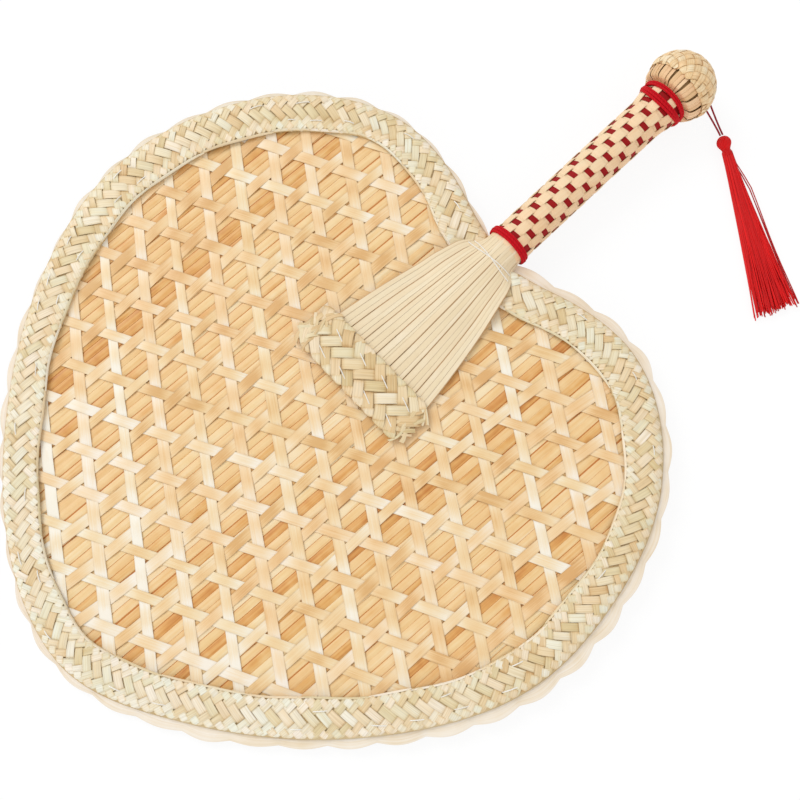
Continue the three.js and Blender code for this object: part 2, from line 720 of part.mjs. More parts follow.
function tasselWrapGeometry() {
  const inner = tasselNeckRadius + seat;
  const outer = inner + tasselWrapThickness;
  const corners = [[inner, 0], [outer, 0], [outer, tasselWrapLength], [inner, tasselWrapLength], [inner, 0]];
  const profile = corners.map(([x, y]) => new THREE.Vector2(x, y));
  return layAlongTassel(new THREE.LatheGeometry(profile, 16), headLength + seat);
}

/** The strands as one body that flattens and widens on the floor. */
function strandsGeometry() {
  const sides = 14;
  const steps = 6;
  const neck = tasselNeckRadius + seat + tasselWrapThickness;
  const section = Array.from({ length: sides }, (_, side) =>
    new THREE.Vector2(1, 0).rotateAround(new THREE.Vector2(), (side / sides) * 2 * Math.PI));
  const beside = new THREE.Vector3(-tasselDirection.y, tasselDirection.x, 0);
  const start = headLength + tasselWrapLength + 3 * seat;
  const rings = Array.from({ length: steps + 1 }, (_, step) => {
    const share = step / steps;
    const halfWidth = mix(neck, strandEndWidth / 2, share);
    const halfHeight = mix(neck, strandEndThickness / 2, share);
    const middle = headTop.clone().addScaledVector(tasselDirection, start + share * strandLength);
    middle.z = mix(headMiddle, floor + floorGap + halfHeight, ease(share, 0, 1 / 3));
    return section.map(({ x, y }) => middle.clone()
      .addScaledVector(beside, x * halfWidth)
      .add(new THREE.Vector3(0, 0, y * halfHeight)));
  });
  return loft(rings, section);
}

// Assembly

const blade = new THREE.Group();
blade.add(
  piece('straw_mat', matGeometry(), goldenStraw),
  piece('front_lattice', latticeGeometry(latticeBottom), paleBamboo),
  piece('back_lattice', latticeGeometry(-latticeTop), paleBamboo),
  piece('front_rim_plait', rimGeometry(frontRimSection), plaitStraw),
  piece('back_rim_plait', rimGeometry(backRimSection), plaitStraw),
);

const patchSeat = skirtFlat + stripThickness / 2 + seat;
const handle = new THREE.Group();
handle.add(
  piece('handle_stick', stickGeometry(), stickWood),
  ...Array.from({ length: stripCount }, (_, index) =>
    piece(`palm_strip_${String(index + 1).padStart(2, '0')}`, stripGeometry(index), palmStrip)),
  piece('red_weft', weftGeometry(), redYarn),
  piece('neck_binding', bindingGeometry('neck_binding', levelRadius, neckHeight, neckBindingTurns), redYarn),
  piece('front_skirt_patch', patchGeometry(patchSeat), plaitStraw),
  piece('back_skirt_patch', patchGeometry(-patchSeat - patchThickness), plaitStraw),
);
[firstTopHeight, secondTopHeight].forEach((height, index) => {
  const name = ['first_top_binding', 'second_top_binding'][index];
  handle.add(piece(name, bindingGeometry(name, headLevelRadius, height, topBindingTurns), redYarn));
});

const knob = new THREE.Group();
knob.add(piece('knob_core', coreGeometry(), stickWood), piece('knob_cap', capGeometry(), knobStraw));

// The fan is laid down: its ball and the back plait at its tip touch the floor.
const fan = new THREE.Group();
fan.add(blade, handle, knob);
const tipReach = knobHeight + bladeDrop - rimOverhang - rimRoll;
fan.rotation.x = Math.asin(capOuter / Math.hypot(tipReach, plaitTop)) - Math.atan2(plaitTop, tipReach);
fan.updateMatrixWorld(true);
const laid = new THREE.Box3().setFromObject(fan, true);
const middle = laid.getCenter(new THREE.Vector3());
fan.position.set(-middle.x, -middle.y, -laid.min.z);
fan.updateMatrixWorld(true);

const tassel = new THREE.Group();
tassel.add(
  piece('tassel_loop', loopGeometry(), redSilk),
  piece('tassel_head', tasselHeadGeometry(), redSilk),
  piece('tassel_wrap', tasselWrapGeometry(), redSilk),
  piece('tassel_strands', strandsGeometry(), redSilk),
);
tassel.position.copy(fan.localToWorld(new THREE.Vector3(0, knobHeight, 0)));
tassel.position.z = capOuter;

const wovenFan = new THREE.Group();
wovenFan.add(fan, tassel);

export default wovenFan;
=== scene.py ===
"""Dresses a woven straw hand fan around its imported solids.

The blade, the handle and the knob are woven in the fan's own frame, in millimetres: x across the blade, y
along the handle, z out of the front, with the blade's widest line at y = 0. The tassel has a frame of its
own, which starts at the top of its head and lies on the floor. Each finished piece is moved into the row's
frame in metres.
"""
import bisect
import functools
import json
import logging
import math
import operator
import random
from dataclasses import dataclass
from enum import Enum
from typing import Callable, Sequence, Union

import bmesh
import bpy
from mathutils import Matrix, Vector
from mathutils.geometry import interpolate_bezier


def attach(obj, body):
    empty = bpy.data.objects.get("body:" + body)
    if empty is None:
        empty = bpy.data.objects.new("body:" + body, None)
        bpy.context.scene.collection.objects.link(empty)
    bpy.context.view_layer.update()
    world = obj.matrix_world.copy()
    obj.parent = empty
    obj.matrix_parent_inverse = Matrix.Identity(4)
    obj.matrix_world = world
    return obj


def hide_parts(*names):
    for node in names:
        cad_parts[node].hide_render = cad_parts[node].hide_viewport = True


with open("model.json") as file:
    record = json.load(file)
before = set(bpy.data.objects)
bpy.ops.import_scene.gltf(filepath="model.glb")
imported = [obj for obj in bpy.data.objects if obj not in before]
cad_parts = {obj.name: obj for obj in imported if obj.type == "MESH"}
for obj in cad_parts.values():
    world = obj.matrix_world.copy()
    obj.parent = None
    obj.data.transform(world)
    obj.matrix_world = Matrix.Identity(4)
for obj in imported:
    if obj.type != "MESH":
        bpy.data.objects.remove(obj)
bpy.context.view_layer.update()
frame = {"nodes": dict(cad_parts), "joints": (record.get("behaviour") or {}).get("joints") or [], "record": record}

logging.basicConfig(level=logging.INFO, format="%(message)s")
log = logging.getLogger("woven_fan")

MM = 0.001
SMOOTH_ANGLE = math.radians(42)
SEAM_GAP = 1e-5
STEEP = 0.9
TINY = 1e-6
LEAST_STEPS = 4
STRAND_DATA = ("along", "across", "tone", "strand")
SIGHT_RAYS = ("Camera", "Glossy", "Transmission")
GOLDEN = 0.618034
WHITE = (1.0, 1.0, 1.0, 1.0)
# How far apart two strands' places in each noise are, so that no strand repeats another
FIBRE_SPREAD, BLOTCH_SPREAD, TINT_SPREAD, CRACK_SPREAD, HAIR_SPREAD = 61, 37, 91, 47, 53

Number = Union[float, "Value"]
Range = tuple[float, float]
Grid = tuple[int, int]
Colour = tuple[float, float, float, float]
Point = tuple[float, float, float]
OnStrand = Callable[[float, float], Vector]
OnBand = Callable[[float, float, float], Vector]


def clamp(value: float, low: float = 0.0, high: float = 1.0) -> float:
    """Returns a number held between two others."""
    return min(max(value, low), high)


def mix(start: float, end: float, share: float) -> float:
    """Returns the number at a share of the way from start to end."""
    return start + (end - start) * share


def ease(value: float, low: float, high: float) -> float:
    """Returns 0 below low, 1 above high and a smooth step between."""
    share = clamp((value - low) / (high - low))
    return share * share * (3 - 2 * share)


def ends(share: float, power: float) -> float:
    """Returns 1 at both ends of a strand and 0 in its middle. A higher power stays low for longer."""
    return abs(2 * share - 1) ** power


def arch(side: float) -> float:
    """Returns 1 in the middle of a strand's width and 0 at its edges."""
    return 1 - side * side


def spaced(start: float, end: float, count: int) -> list[float]:
    """Returns evenly spaced numbers from start to end, both included."""
    return [mix(start, end, step / (count - 1)) for step in range(count)]


def wander(values: Sequence[float], share: float) -> float:
    """Returns the number at a share of the way along evenly spaced ones, eased from each to the next."""
    place = clamp(share) * (len(values) - 1)
    step = min(int(place), len(values) - 2)
    return mix(values[step], values[step + 1], ease(place - step, 0.0, 1.0))


def line_length(points: Sequence[Vector]) -> float:
    """Returns the length of a line through points."""
    return sum((b - a).length for a, b in zip(points, points[1:]))


def colour(code: str) -> Colour:
    """Turns a display colour into a linear one for a shader's socket.

    Args:
        code: Its six hexadecimal digits.

    Returns:
        The linear colour.
    """
    shares = [int(code[at:at + 2], 16) / 255 for at in (0, 2, 4)]
    linear = [share / 12.92 if share <= 0.04045 else ((share + 0.055) / 1.055) ** 2.4 for share in shares]
    return (*linear, 1.0)


class Value:
    """A shader socket. An expression on it adds the Math nodes that it needs."""

    def __init__(self, shader: "Shader", socket: bpy.types.NodeSocket | None) -> None:
        """Keeps the shader and the socket."""
        self.shader = shader
        self.socket = socket

    def _math(self, operation: str, left: Number, right: Number = 0.0) -> "Value":
        """Adds one Math node."""
        return self.shader.node("ShaderNodeMath", {"operation": operation}, {0: left, 1: right})

    def __add__(self, other: Number) -> "Value":
        """Returns the sum."""
        return self._math("ADD", self, other)

    __radd__ = __add__

    def __sub__(self, other: Number) -> "Value":
        """Returns the difference."""
        return self._math("SUBTRACT", self, other)

    def __rsub__(self, other: Number) -> "Value":
        """Returns the difference from a number."""
        return self._math("SUBTRACT", other, self)

    def __mul__(self, other: Number) -> "Value":
        """Returns the product."""
        return self._math("MULTIPLY", self, other)

    __rmul__ = __mul__

    def __pow__(self, other: Number) -> "Value":
        """Returns the power."""
        return self._math("POWER", self, other)

    def __rpow__(self, other: Number) -> "Value":
        """Returns a number to this power."""
        return self._math("POWER", other, self)

    def __abs__(self) -> "Value":
        """Returns the size without its sign."""
        return self._math("ABSOLUTE", self)

    def wave(self) -> "Value":
        """Returns the sine."""
        return self._math("SINE", self)

    def largest(self, other: Number) -> "Value":
        """Returns the larger of two."""
        return self._math("MAXIMUM", self, other)


class Shader:
    """The node tree of a material or a world."""

    def __init__(self, owner: bpy.types.Material | bpy.types.World) -> None:
        """Empties the node tree.

        Args:
            owner: The material or the world.
        """
        owner.use_nodes = True
        self.tree = owner.node_tree
        self.tree.nodes.clear()

    def node(self, kind: str, settings: dict | None = None, inputs: dict | None = None,
             output: int | str = 0) -> Value:
        """Adds a node.

        Args:
            kind: The node's type.
            settings: Properties that are set first. `stops` are a ramp's places and colours.
            inputs: Numbers, colours or values for its sockets, by name or place.
            output: The socket that is returned.

        Returns:
            The output as a value, without a socket for a node that ends the tree.
        """
        made = self.tree.nodes.new(kind)
        for key, setting in (settings or {}).items():
            if key == "stops":
                self._set_stops(made.color_ramp, setting)
            else:
                setattr(made, key, setting)
        for key, given in (inputs or {}).items():
            if isinstance(given, Value):
                self.tree.links.new(given.socket, made.inputs[key])
            else:
                made.inputs[key].default_value = given
        return Value(self, made.outputs[output] if made.outputs else None)

    @staticmethod
    def _set_stops(ramp: bpy.types.ColorRamp, stops: Sequence[tuple[float, Colour]]) -> None:
        """Sets a ramp's stops, of which there are two or more."""
        while len(ramp.elements) < len(stops):
            ramp.elements.new(1.0)
        for element, (place, shade) in zip(ramp.elements, stops):
            element.position = place
            element.color = shade

    def ramp(self, share: Value, codes: Sequence[str]) -> Value:
        """Returns the colour at a share of the way through evenly spaced ones."""
        last = len(codes) - 1
        stops = [(step / last, colour(code)) for step, code in enumerate(codes)]
        return self.node("ShaderNodeValToRGB", {"stops": stops}, {"Fac": share})

    def strand_data(self) -> list[Value]:
        """Returns the numbers that the strands' mesh holds at its points."""
        settings = [{"attribute_type": "GEOMETRY", "attribute_name": name} for name in STRAND_DATA]
        return [self.node("ShaderNodeAttribute", each, None, "Fac") for each in settings]

    def noise(self, vector: Value, detail: float = 0.0) -> Value:
        """Returns noise about 0, from about -0.5 to 0.5."""
        inputs = {"Vector": vector, "Scale": 1.0, "Detail": detail}
        return self.node("ShaderNodeTexNoise", {"noise_dimensions": "3D"}, inputs, "Fac") - 0.5

    def vector(self, x: Number, y: Number, z: Number) -> Value:
        """Joins three numbers to a vector."""
        return self.node("ShaderNodeCombineXYZ", None, {0: x, 1: y, 2: z})

    def blend(self, share: Number, first: Value | Colour, second: Value | Colour,
              kind: str = "MIX") -> Value:
        """Mixes two colours."""
        settings = {"data_type": "RGBA", "blend_type": kind}
        return self.node("ShaderNodeMix", settings, {0: share, 6: first, 7: second}, 2)

    def bump(self, height: Value, strength: float, distance: float) -> Value:
        """Returns a normal for a height."""
        inputs = {"Height": height, "Strength": strength, "Distance": distance}
        return self.node("ShaderNodeBump", None, inputs)

    def sight(self) -> Value:
        """Returns 1 for the rays that show a background, to the camera, in a reflection or through glass."""
        rays = [self.node("ShaderNodeLightPath", None, None, f"Is {kind} Ray") for kind in SIGHT_RAYS]
        return rays[0].largest(rays[1]).largest(rays[2])

    def end(self, shader: Value, kind: str = "ShaderNodeOutputMaterial") -> None:
        """Ends the tree with a shader."""
        self.node(kind, None, {"Surface": shader})


@dataclass(frozen=True)
class FibreFinish:
    """Split straw, bamboo or leaf: fine fibres along each strand and a tone of its own for each."""

    name: str
    slot: str
    tones: tuple[str, ...]
    fibres: float = 7.0
    fibre_scale: float = 0.035
    fibre_detail: float = 3.0
    streaks: float = 0.5
    blotches: float = 0.35
    blotch_scale: Range = (0.11, 0.5)
    blotch_detail: float = 2.0
    splits: float = 0.0
    split_scale: Range = (0.03, 1.8)
    split_sharpness: float = 9.0
    # Painted shade: each strand darkens towards its edges, into the shadow colour, where shade falls between
    # strands
    edge_painted_shade: float = 0.22
    edge_sharpness: float = 10.0
    shadow: float = 0.45
    tints: tuple[str, str] = ("fff6ee", "fafaf0")
    tint_share: float = 0.5
    tint_scale: float = 0.004
    tint_contrast: float = 2.5
    roughness: float = 0.5
    roughness_spread: float = 0.3
    shine: float = 0.5
    relief: float = 0.35
    relief_depth: float = 0.00012

    def fill(self, shader: Shader) -> dict:
        """Makes colour, roughness and bump follow each strand.

        Args:
            shader: The material's node tree.

        Returns:
            The Principled shader's sockets.
        """
        along, across, tone, strand = shader.strand_data()

        def grain(scales: Range, spread: float, detail: float = 0.0) -> Value:
            """Returns noise that is stretched along the strand."""
            scaled = along * scales[0], across * scales[1], strand * spread
            return shader.noise(shader.vector(*scaled), detail)

        fibre = grain((self.fibre_scale, self.fibres), FIBRE_SPREAD, self.fibre_detail)
        blotch = grain(self.blotch_scale, BLOTCH_SPREAD, self.blotch_detail)
        crack = abs(grain(self.split_scale, CRACK_SPREAD)) * -self.split_sharpness + 1.0
        shade = shader.ramp(tone + fibre * self.streaks + blotch * self.blotches, self.tones)
        shadow = (*(channel * self.shadow for channel in colour(self.tones[0])[:3]), 1.0)
        drift = shader.noise(shader.vector(strand * TINT_SPREAD, along * self.tint_scale, 0.5))
        tint = shader.blend(drift * self.tint_contrast + 0.5, *(colour(code) for code in self.tints))
        tinted = shader.blend(self.tint_share, shade, tint, "MULTIPLY")
        split = shader.blend(crack * self.splits, tinted, shadow)
        # Painted shade along each strand's edges, where shade falls between strands
        edge = abs(across) ** self.edge_sharpness * self.edge_painted_shade
        return {
            "Base Color": shader.blend(edge, split, shadow),
            "Roughness": fibre * self.roughness_spread + self.roughness,
            "Specular IOR Level": self.shine,
            "Normal": shader.bump(fibre, self.relief, self.relief_depth),
        }


@dataclass(frozen=True)
class ThreadFinish:
    """Yarn or silk: twisted plies that wind round the thread."""

    name: str
    slot: str
    tones: tuple[str, str]
    ply_length: float = 1.6
    plies: int = 2
    twist: float = 0.2
    hairs: float = 0.5
    hair_scale: Range = (1.3, 5.0)
    hair_detail: float = 2.0
    roughness: float = 0.75
    roughness_spread: float = 0.2
    shine: float = 0.3
    relief: float = 0.6
    relief_depth: float = 0.0001

    def fill(self, shader: Shader) -> dict:
        """Makes slanting plies and fine hairs.

        Args:
            shader: The material's node tree.

        Returns:
            The Principled shader's sockets.
        """
        along, across, tone, strand = shader.strand_data()
        turns = along * (2 * math.pi / self.ply_length) + across * (math.pi * self.plies)
        scaled = along * self.hair_scale[0], across * self.hair_scale[1], strand * HAIR_SPREAD
        hair = shader.noise(shader.vector(*scaled), self.hair_detail)
        # The colour follows the plies' relief: painted shade in the grooves between plies; the hairs vary the tone
        height = turns.wave() * self.twist + hair * self.hairs
        return {
            "Base Color": shader.ramp(height + tone, self.tones),
            "Roughness": hair * self.roughness_spread + self.roughness,
            "Specular IOR Level": self.shine,
            "Normal": shader.bump(height, self.relief, self.relief_depth),
        }


@dataclass(frozen=True)
class WoodFinish:
    """Bare wood with its grain along the handle."""

    name: str = "stick_wood"
    pale: str = "c9a36a"
    dark: str = "8f6a3a"
    stretch: Point = (900.0, 25.0, 900.0)
    detail: float = 4.0
    roughness: float = 0.65
    roughness_spread: float = 0.2
    relief: float = 0.3
    relief_depth: float = 0.0002

    def fill(self, shader: Shader) -> dict:
        """Makes long grain from the place in the object.

        Args:
            shader: The material's node tree.

        Returns:
            The Principled shader's sockets.
        """
        place = shader.node("ShaderNodeTexCoord", None, None, "Object")
        stretched = shader.node("ShaderNodeMapping", None, {"Vector": place, "Scale": self.stretch})
        grain = shader.noise(stretched, self.detail)
        return {
            "Base Color": shader.blend(grain + 0.5, colour(self.dark), colour(self.pale)),
            "Roughness": grain * self.roughness_spread + self.roughness,
            "Normal": shader.bump(grain, self.relief, self.relief_depth),
        }


MAT_STRAW = FibreFinish(
    "mat_straw", "golden_straw", ("c8803a", "e4ae66", "f0ca90", "f6d9a6", "fae8c4"), fibres=5.0,
    streaks=0.7, blotches=0.6, roughness=0.45, tints=("ffeeda", "fff8e6"))
BAMBOO = FibreFinish(
    "split_bamboo", "pale_bamboo", ("e2b478", "f2ce9a", "f8deb4", "fbecd2", "fffaf0"), fibres=9.0,
    streaks=0.7, blotches=0.5, roughness=0.36, tints=("fff3e6", "fcfbee"))
PLAIT_STRAW = FibreFinish(
    "plaited_straw", "plaited_straw", ("d2ae7a", "e8ce9f", "f2dfba", "f9eed5", "fffcf2"), fibres=6.0,
    streaks=0.7, splits=0.17, edge_painted_shade=0.34, roughness=0.45, tints=("fff4e8", "f4f5e8"), tint_share=0.8)
PALM_LEAF = FibreFinish(
    "palm_leaf", "palm_strip", ("dfb682", "f5cb9e", "fbdcb4", "efdab4", "f3e1be", "f9ecd0"), fibres=9.0,
    edge_painted_shade=0.3, tint_share=0.3)
EDGE_LEAF = FibreFinish(
    "edge_leaf", "plaited_straw", ("e2c9a4", "f0dfc4", "f8ecda", "fcf4e9", "fffbf6"), fibres=8.0,
    streaks=0.9, blotches=0.6, edge_painted_shade=0.1, tints=("fff4ea", "fcfaf0"))
KNOB_STRAW = FibreFinish(
    "knob_straw", "knob_straw", ("bc8a52", "e6b980", "f4d09c", "f9dfb4", "fdecce"), fibres=6.0,
    splits=0.22, edge_painted_shade=0.42, tint_share=0.3)
RED_RIBBON = FibreFinish(
    "red_ribbon", "red_ribbon", ("84080a", "9c0e10", "b41416", "c41e20"), fibres=9.0, edge_painted_shade=0.3,
    roughness=0.6, shine=0.2)
RED_YARN = ThreadFinish("red_yarn", "red_yarn", ("a6030f", "dc0c1e"), shine=0.2)
RED_SILK = ThreadFinish(
    "red_silk", "red_silk", ("ac0106", "f01010"), twist=0.0, roughness=0.45, shine=0.25, relief=0.2)
LOOP_SILK = ThreadFinish("loop_silk", "red_silk", ("7a0c1c", "b4182e"), ply_length=1.5, roughness=0.5)
WHITE_THREAD = ThreadFinish(
    "white_thread", "plaited_straw", ("ddd3c0", "fdfaf2"), ply_length=0.9, roughness=0.7)
STICK_WOOD = WoodFinish()


@functools.cache
def material_of(look: FibreFinish | ThreadFinish | WoodFinish) -> bpy.types.Material:
    """Returns a finish's material, a Principled shader, which is made once."""
    material = bpy.data.materials.new(look.name)
    shader = Shader(material)
    shader.end(shader.node("ShaderNodeBsdfPrincipled", None, look.fill(shader)))
    return material


def thread_frames(points: Sequence[Vector]) -> list[tuple[Vector, Vector]]:
    """Finds two directions square to a line at each of its points, without a twist between them.

    Args:
        points: The line's points.

    Returns:
        The directions beside and above each point.
    """
    frames = []
    last = len(points) - 1
    up = Vector((0.0, 0.0, 1.0))
    for step in range(last + 1):
        tangent = (points[min(step + 1, last)] - points[max(step - 1, 0)]).normalized()
        if not frames and abs(tangent.dot(up)) > STEEP:
            up = Vector((1.0, 0.0, 0.0))
        beside = tangent.cross(up).normalized()
        up = beside.cross(tangent).normalized()
        frames.append((beside, up))
    return frames


@dataclass
class Station:
    """A place along a strand: its middle, its width's direction, its outward direction and its width."""

    centre: Vector
    across: Vector
    out: Vector
    width: float

    def lifted(self, lift: float, wider: float = 0.0) -> "Station":
        """Returns a station farther out and wider than this one."""
        return Station(self.centre + self.out * lift, self.across, self.out, self.width + wider)


class Strands:
    """A mesh of strands.

    Each point holds how far along and across its strand it is, its tone and a number of the strand's own.
    """

    def __init__(self, seed: int) -> None:
        """Starts an empty mesh.

        Args:
            seed: Where its random numbers start.
        """
        self.mesh = bmesh.new()
        self.layers = [self.mesh.verts.layers.float.new(name) for name in STRAND_DATA]
        self.count = 0
        self.chance = random.Random(seed)

    def jitter(self, spread: float) -> float:
        """Returns a random number from -spread to spread."""
        return self.chance.uniform(-spread, spread)

    def ribbon(self, steps: int, columns: int, length: float, tone: float, place: OnStrand,
               shade: Callable[[float], float] | None = None) -> None:
        """Adds a grid and moves each of its points.

        Args:
            steps: Faces along the strand.
            columns: Faces across it.
            length: The strand's length.
            tone: The strand's tone, from 0, dark, to 1, pale.
            place: Gives a point for a share of the length and a side from -1 to 1.
            shade: Gives a change of the tone for a share of the length.
        """
        grid = bmesh.ops.create_grid(self.mesh, x_segments=steps, y_segments=columns, size=0.5)
        along, across, own_tone, strand = self.layers
        self.count += 1
        for vert in grid["verts"]:
            share, side = vert.co.x + 0.5, 2 * vert.co.y
            vert[along] = share * length
            vert[across] = side
            vert[own_tone] = tone + (shade(share) if shade else 0.0)
            vert[strand] = self.count * GOLDEN % 1.0
            vert.co = place(share, side)

    def band(self, stations: Sequence[Station], tone: float, crown: float, columns: int,
             edges: Range = (-1.0, 1.0)) -> None:
        """Adds a ribbon along stations.

        Args:
            stations: Places along the ribbon.
            tone: Its tone.
            crown: How far its middle stands out.
            columns: Faces across it.
            edges: The part of the stations' width that it covers, from -1 to 1.
        """
        last = len(stations) - 1

        def place(share: float, side: float) -> Vector:
            """Gives a point of the ribbon."""
            station = stations[round(share * last)]
            reach = mix(edges[0], edges[1], (side + 1) / 2) * station.width / 2
            return station.centre + station.across * reach + station.out * crown * arch(side)

        self.ribbon(last, columns, line_length([each.centre for each in stations]), tone, place)

    def tube(self, points: Sequence[Vector], radius: float, tone: float, sides: int) -> None:
        """Adds a round thread along points. Its seam is closed when the mesh is finished.

        Args:
            points: The thread's middle line.
            radius: Its radius.
            tone: Its tone.
            sides: Its faces round.
        """
        frames = thread_frames(points)
        last = len(points) - 1

        def place(share: float, side: float) -> Vector:
            """Gives a point of the thread."""
            step = round(share * last)
            beside, up = frames[step]
            angle = math.pi * side
            return points[step] + (beside * math.cos(angle) + up * math.sin(angle)) * radius

        self.ribbon(last, sides, line_length(points), tone, place)

    def finish(self, name: str, look: FibreFinish | ThreadFinish, to_row: Matrix, body: str,
               nodes: Sequence[str] = (), thickness: float = 0.0) -> bpy.types.Object:
        """Closes the mesh, moves it into the row's frame and makes it a piece that rides on a body.

        Args:
            name: The piece's name.
            look: Its finish.
            to_row: The matrix from the mesh's own frame to the row's.
            body: The body that it rides on.
            nodes: The nodes that it stands for.
            thickness: The strands' thickness. Round ones have none, because they close on themselves.

        Returns:
            The piece.
        """
        mesh = self.mesh
        if thickness:
            bmesh.ops.solidify(mesh, geom=mesh.faces[:], thickness=thickness)
        else:
            bmesh.ops.remove_doubles(mesh, verts=mesh.verts[:], dist=SEAM_GAP)
            rims = [edge for edge in mesh.edges if edge.is_boundary]
            bmesh.ops.holes_fill(mesh, edges=rims, sides=0)
        bmesh.ops.recalc_face_normals(mesh, faces=mesh.faces[:])
        bmesh.ops.transform(mesh, matrix=to_row, verts=mesh.verts[:])
        data = bpy.data.meshes.new(name)
        mesh.to_mesh(data)
        mesh.free()
        data.shade_smooth()
        data.set_sharp_from_angle(angle=SMOOTH_ANGLE)
        data.materials.append(material_of(look))
        piece = bpy.data.objects.new(name, data)
        bpy.context.scene.collection.objects.link(piece)
        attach(piece, body)
        if nodes:
            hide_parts(*nodes)
        log.info("%s: %d faces on %s, for %s", name, len(data.polygons), body, ", ".join(nodes) or "no node")
        return piece


@dataclass(frozen=True)
class FanFrame:
    """The fan's own frame, which the mount on the middle of the handle carries."""

    mount: str = "handle_grip"
    mount_height: float = 146.85

    def to_row(self) -> Matrix:
        """Returns the matrix from the fan's millimetres to the row's metres."""
        grip = next(mount for mount in frame["record"]["mounts"] if mount["name"] == self.mount)
        along = Vector(grip["axis"]).normalized()
        across = Vector((1.0, 0.0, 0.0))
        turn = Matrix((across, along, across.cross(along))).transposed().to_4x4()
        origin = Vector(grip["pos_m"]) - along * self.mount_height * MM
        return Matrix.Translation(origin) @ turn @ Matrix.Scale(MM, 4)


class Face(Enum):
    """A face of the blade, with its side of the blade's middle."""

    FRONT = 1
    BACK = -1

    @property
    def word(self) -> str:
        """The face's name as pieces and nodes have it."""
        return self.name.lower()


@dataclass(frozen=True)
class Heart:
    """The blade's outline, a symmetrical heart, with its notch for the neck."""

    width: float = 300.0
    drop: float = 161.7
    rise: float = 111.2
    lobe_offset: float = 63.4
    cleft_half_width: float = 19.4
    cleft_depth: float = 8.6
    cleft_slope: float = 0.25
    tip_roundness: float = 59.4
    lower_side_roundness: float = 72.5
    upper_side_roundness: float = 60.7
    outer_lobe_roundness: float = 42.5
    inner_lobe_roundness: float = 22.0
    cleft_roundness: float = 7.2
    tuck: float = 12.0
    notch_height: float = 86.0
    notch_half_width: float = 12.0
    curve_steps: int = 60
    layer_steps: int = 160

    def right_half(self) -> list[Vector]:
        """Returns points from the tip to where the rim ends under the skirt."""
        tip = Vector((0, -self.drop, 0))
        widest = Vector((self.width / 2, 0, 0))
        lobe = Vector((self.lobe_offset, self.rise, 0))
        cleft = Vector((self.cleft_half_width, self.rise - self.cleft_depth, 0))
        inwards = Vector((self.cleft_roundness, self.cleft_slope * self.cleft_roundness, 0))
        curves = (
            (tip, tip + Vector((self.tip_roundness, 0, 0)),
             widest - Vector((0, self.lower_side_roundness, 0)), widest),
            (widest, widest + Vector((0, self.upper_side_roundness, 0)),
             lobe + Vector((self.outer_lobe_roundness, 0, 0)), lobe),
            (lobe, lobe - Vector((self.inner_lobe_roundness, 0, 0)), cleft + inwards, cleft),
        )
        points = [tip]
        for curve in curves:
            points.extend(interpolate_bezier(*curve, self.curve_steps)[1:])
        points.append(cleft - inwards.normalized() * self.tuck)
        return points


class HeartEdge:
    """The outline as a line from the left side of the cleft round the tip to the right side."""

    def __init__(self, heart: Heart) -> None:
        """Walks the outline.

        Args:
            heart: The blade's heart.
        """
        self.heart = heart
        right = heart.right_half()
        left = [Vector((-point.x, point.y, 0)) for point in reversed(right[1:])]
        self.points = left + right
        self.lengths = [0.0]
        for before, after in zip(self.points, self.points[1:]):
            self.lengths.append(self.lengths[-1] + (after - before).length)
        self.inward = [self._inward(step) for step in range(len(self.points))]
        self.length = self.lengths[-1]

    def _inward(self, step: int) -> Vector:
        """Returns the direction into the blade at one of the points."""
        before = self.points[max(step - 1, 0)]
        after = self.points[min(step + 1, len(self.points) - 1)]
        tangent = (after - before).normalized()
        return Vector((-tangent.y, tangent.x, 0))

    def place(self, distance: float, inset: float, height: float) -> Vector:
        """Gives a point beside the outline.

        Args:
            distance: How far along the outline it is.
            inset: How far into the blade it is.
            height: Its height over the blade's middle.

        Returns:
            The point.
        """
        step = clamp(bisect.bisect_right(self.lengths, distance) - 1, 0, len(self.points) - 2)
        share = (distance - self.lengths[step]) / (self.lengths[step + 1] - self.lengths[step])
        point = self.points[step].lerp(self.points[step + 1], share)
        inward = self.inward[step].lerp(self.inward[step + 1], clamp(share)).normalized()
        return Vector((point.x + inward.x * inset, point.y + inward.y * inset, height))

    def layer(self, inset: float) -> list[Vector]:
        """Returns the outline of a layer that is drawn in from the edge and notched at the neck."""
        heart = self.heart
        distances = spaced(heart.tuck, self.length - heart.tuck, heart.layer_steps)
        notch = [Vector((side * heart.notch_half_width, heart.notch_height, 0)) for side in (1, -1)]
        return [self.place(distance, inset, 0) for distance in distances] + notch


def spans(origin: Vector, direction: Vector, outline: Sequence[Vector]) -> list[Range]:
    """Finds where a line lies inside an outline.

    Args:
        origin: A point of the line.
        direction: Its direction.
        outline: The outline's corners.

    Returns:
        The distances from the origin where the line goes in and comes out.
    """
    normal = Vector((-direction.y, direction.x, 0))
    cuts = []
    for a, b in zip(outline, [*outline[1:], outline[0]]):
        off_a, off_b = (a - origin).dot(normal), (b - origin).dot(normal)
        if (off_a > 0) != (off_b > 0):
            cuts.append((a.lerp(b, off_a / (off_a - off_b)) - origin).dot(direction))
    cuts.sort()
    return list(zip(cuts[::2], cuts[1::2]))


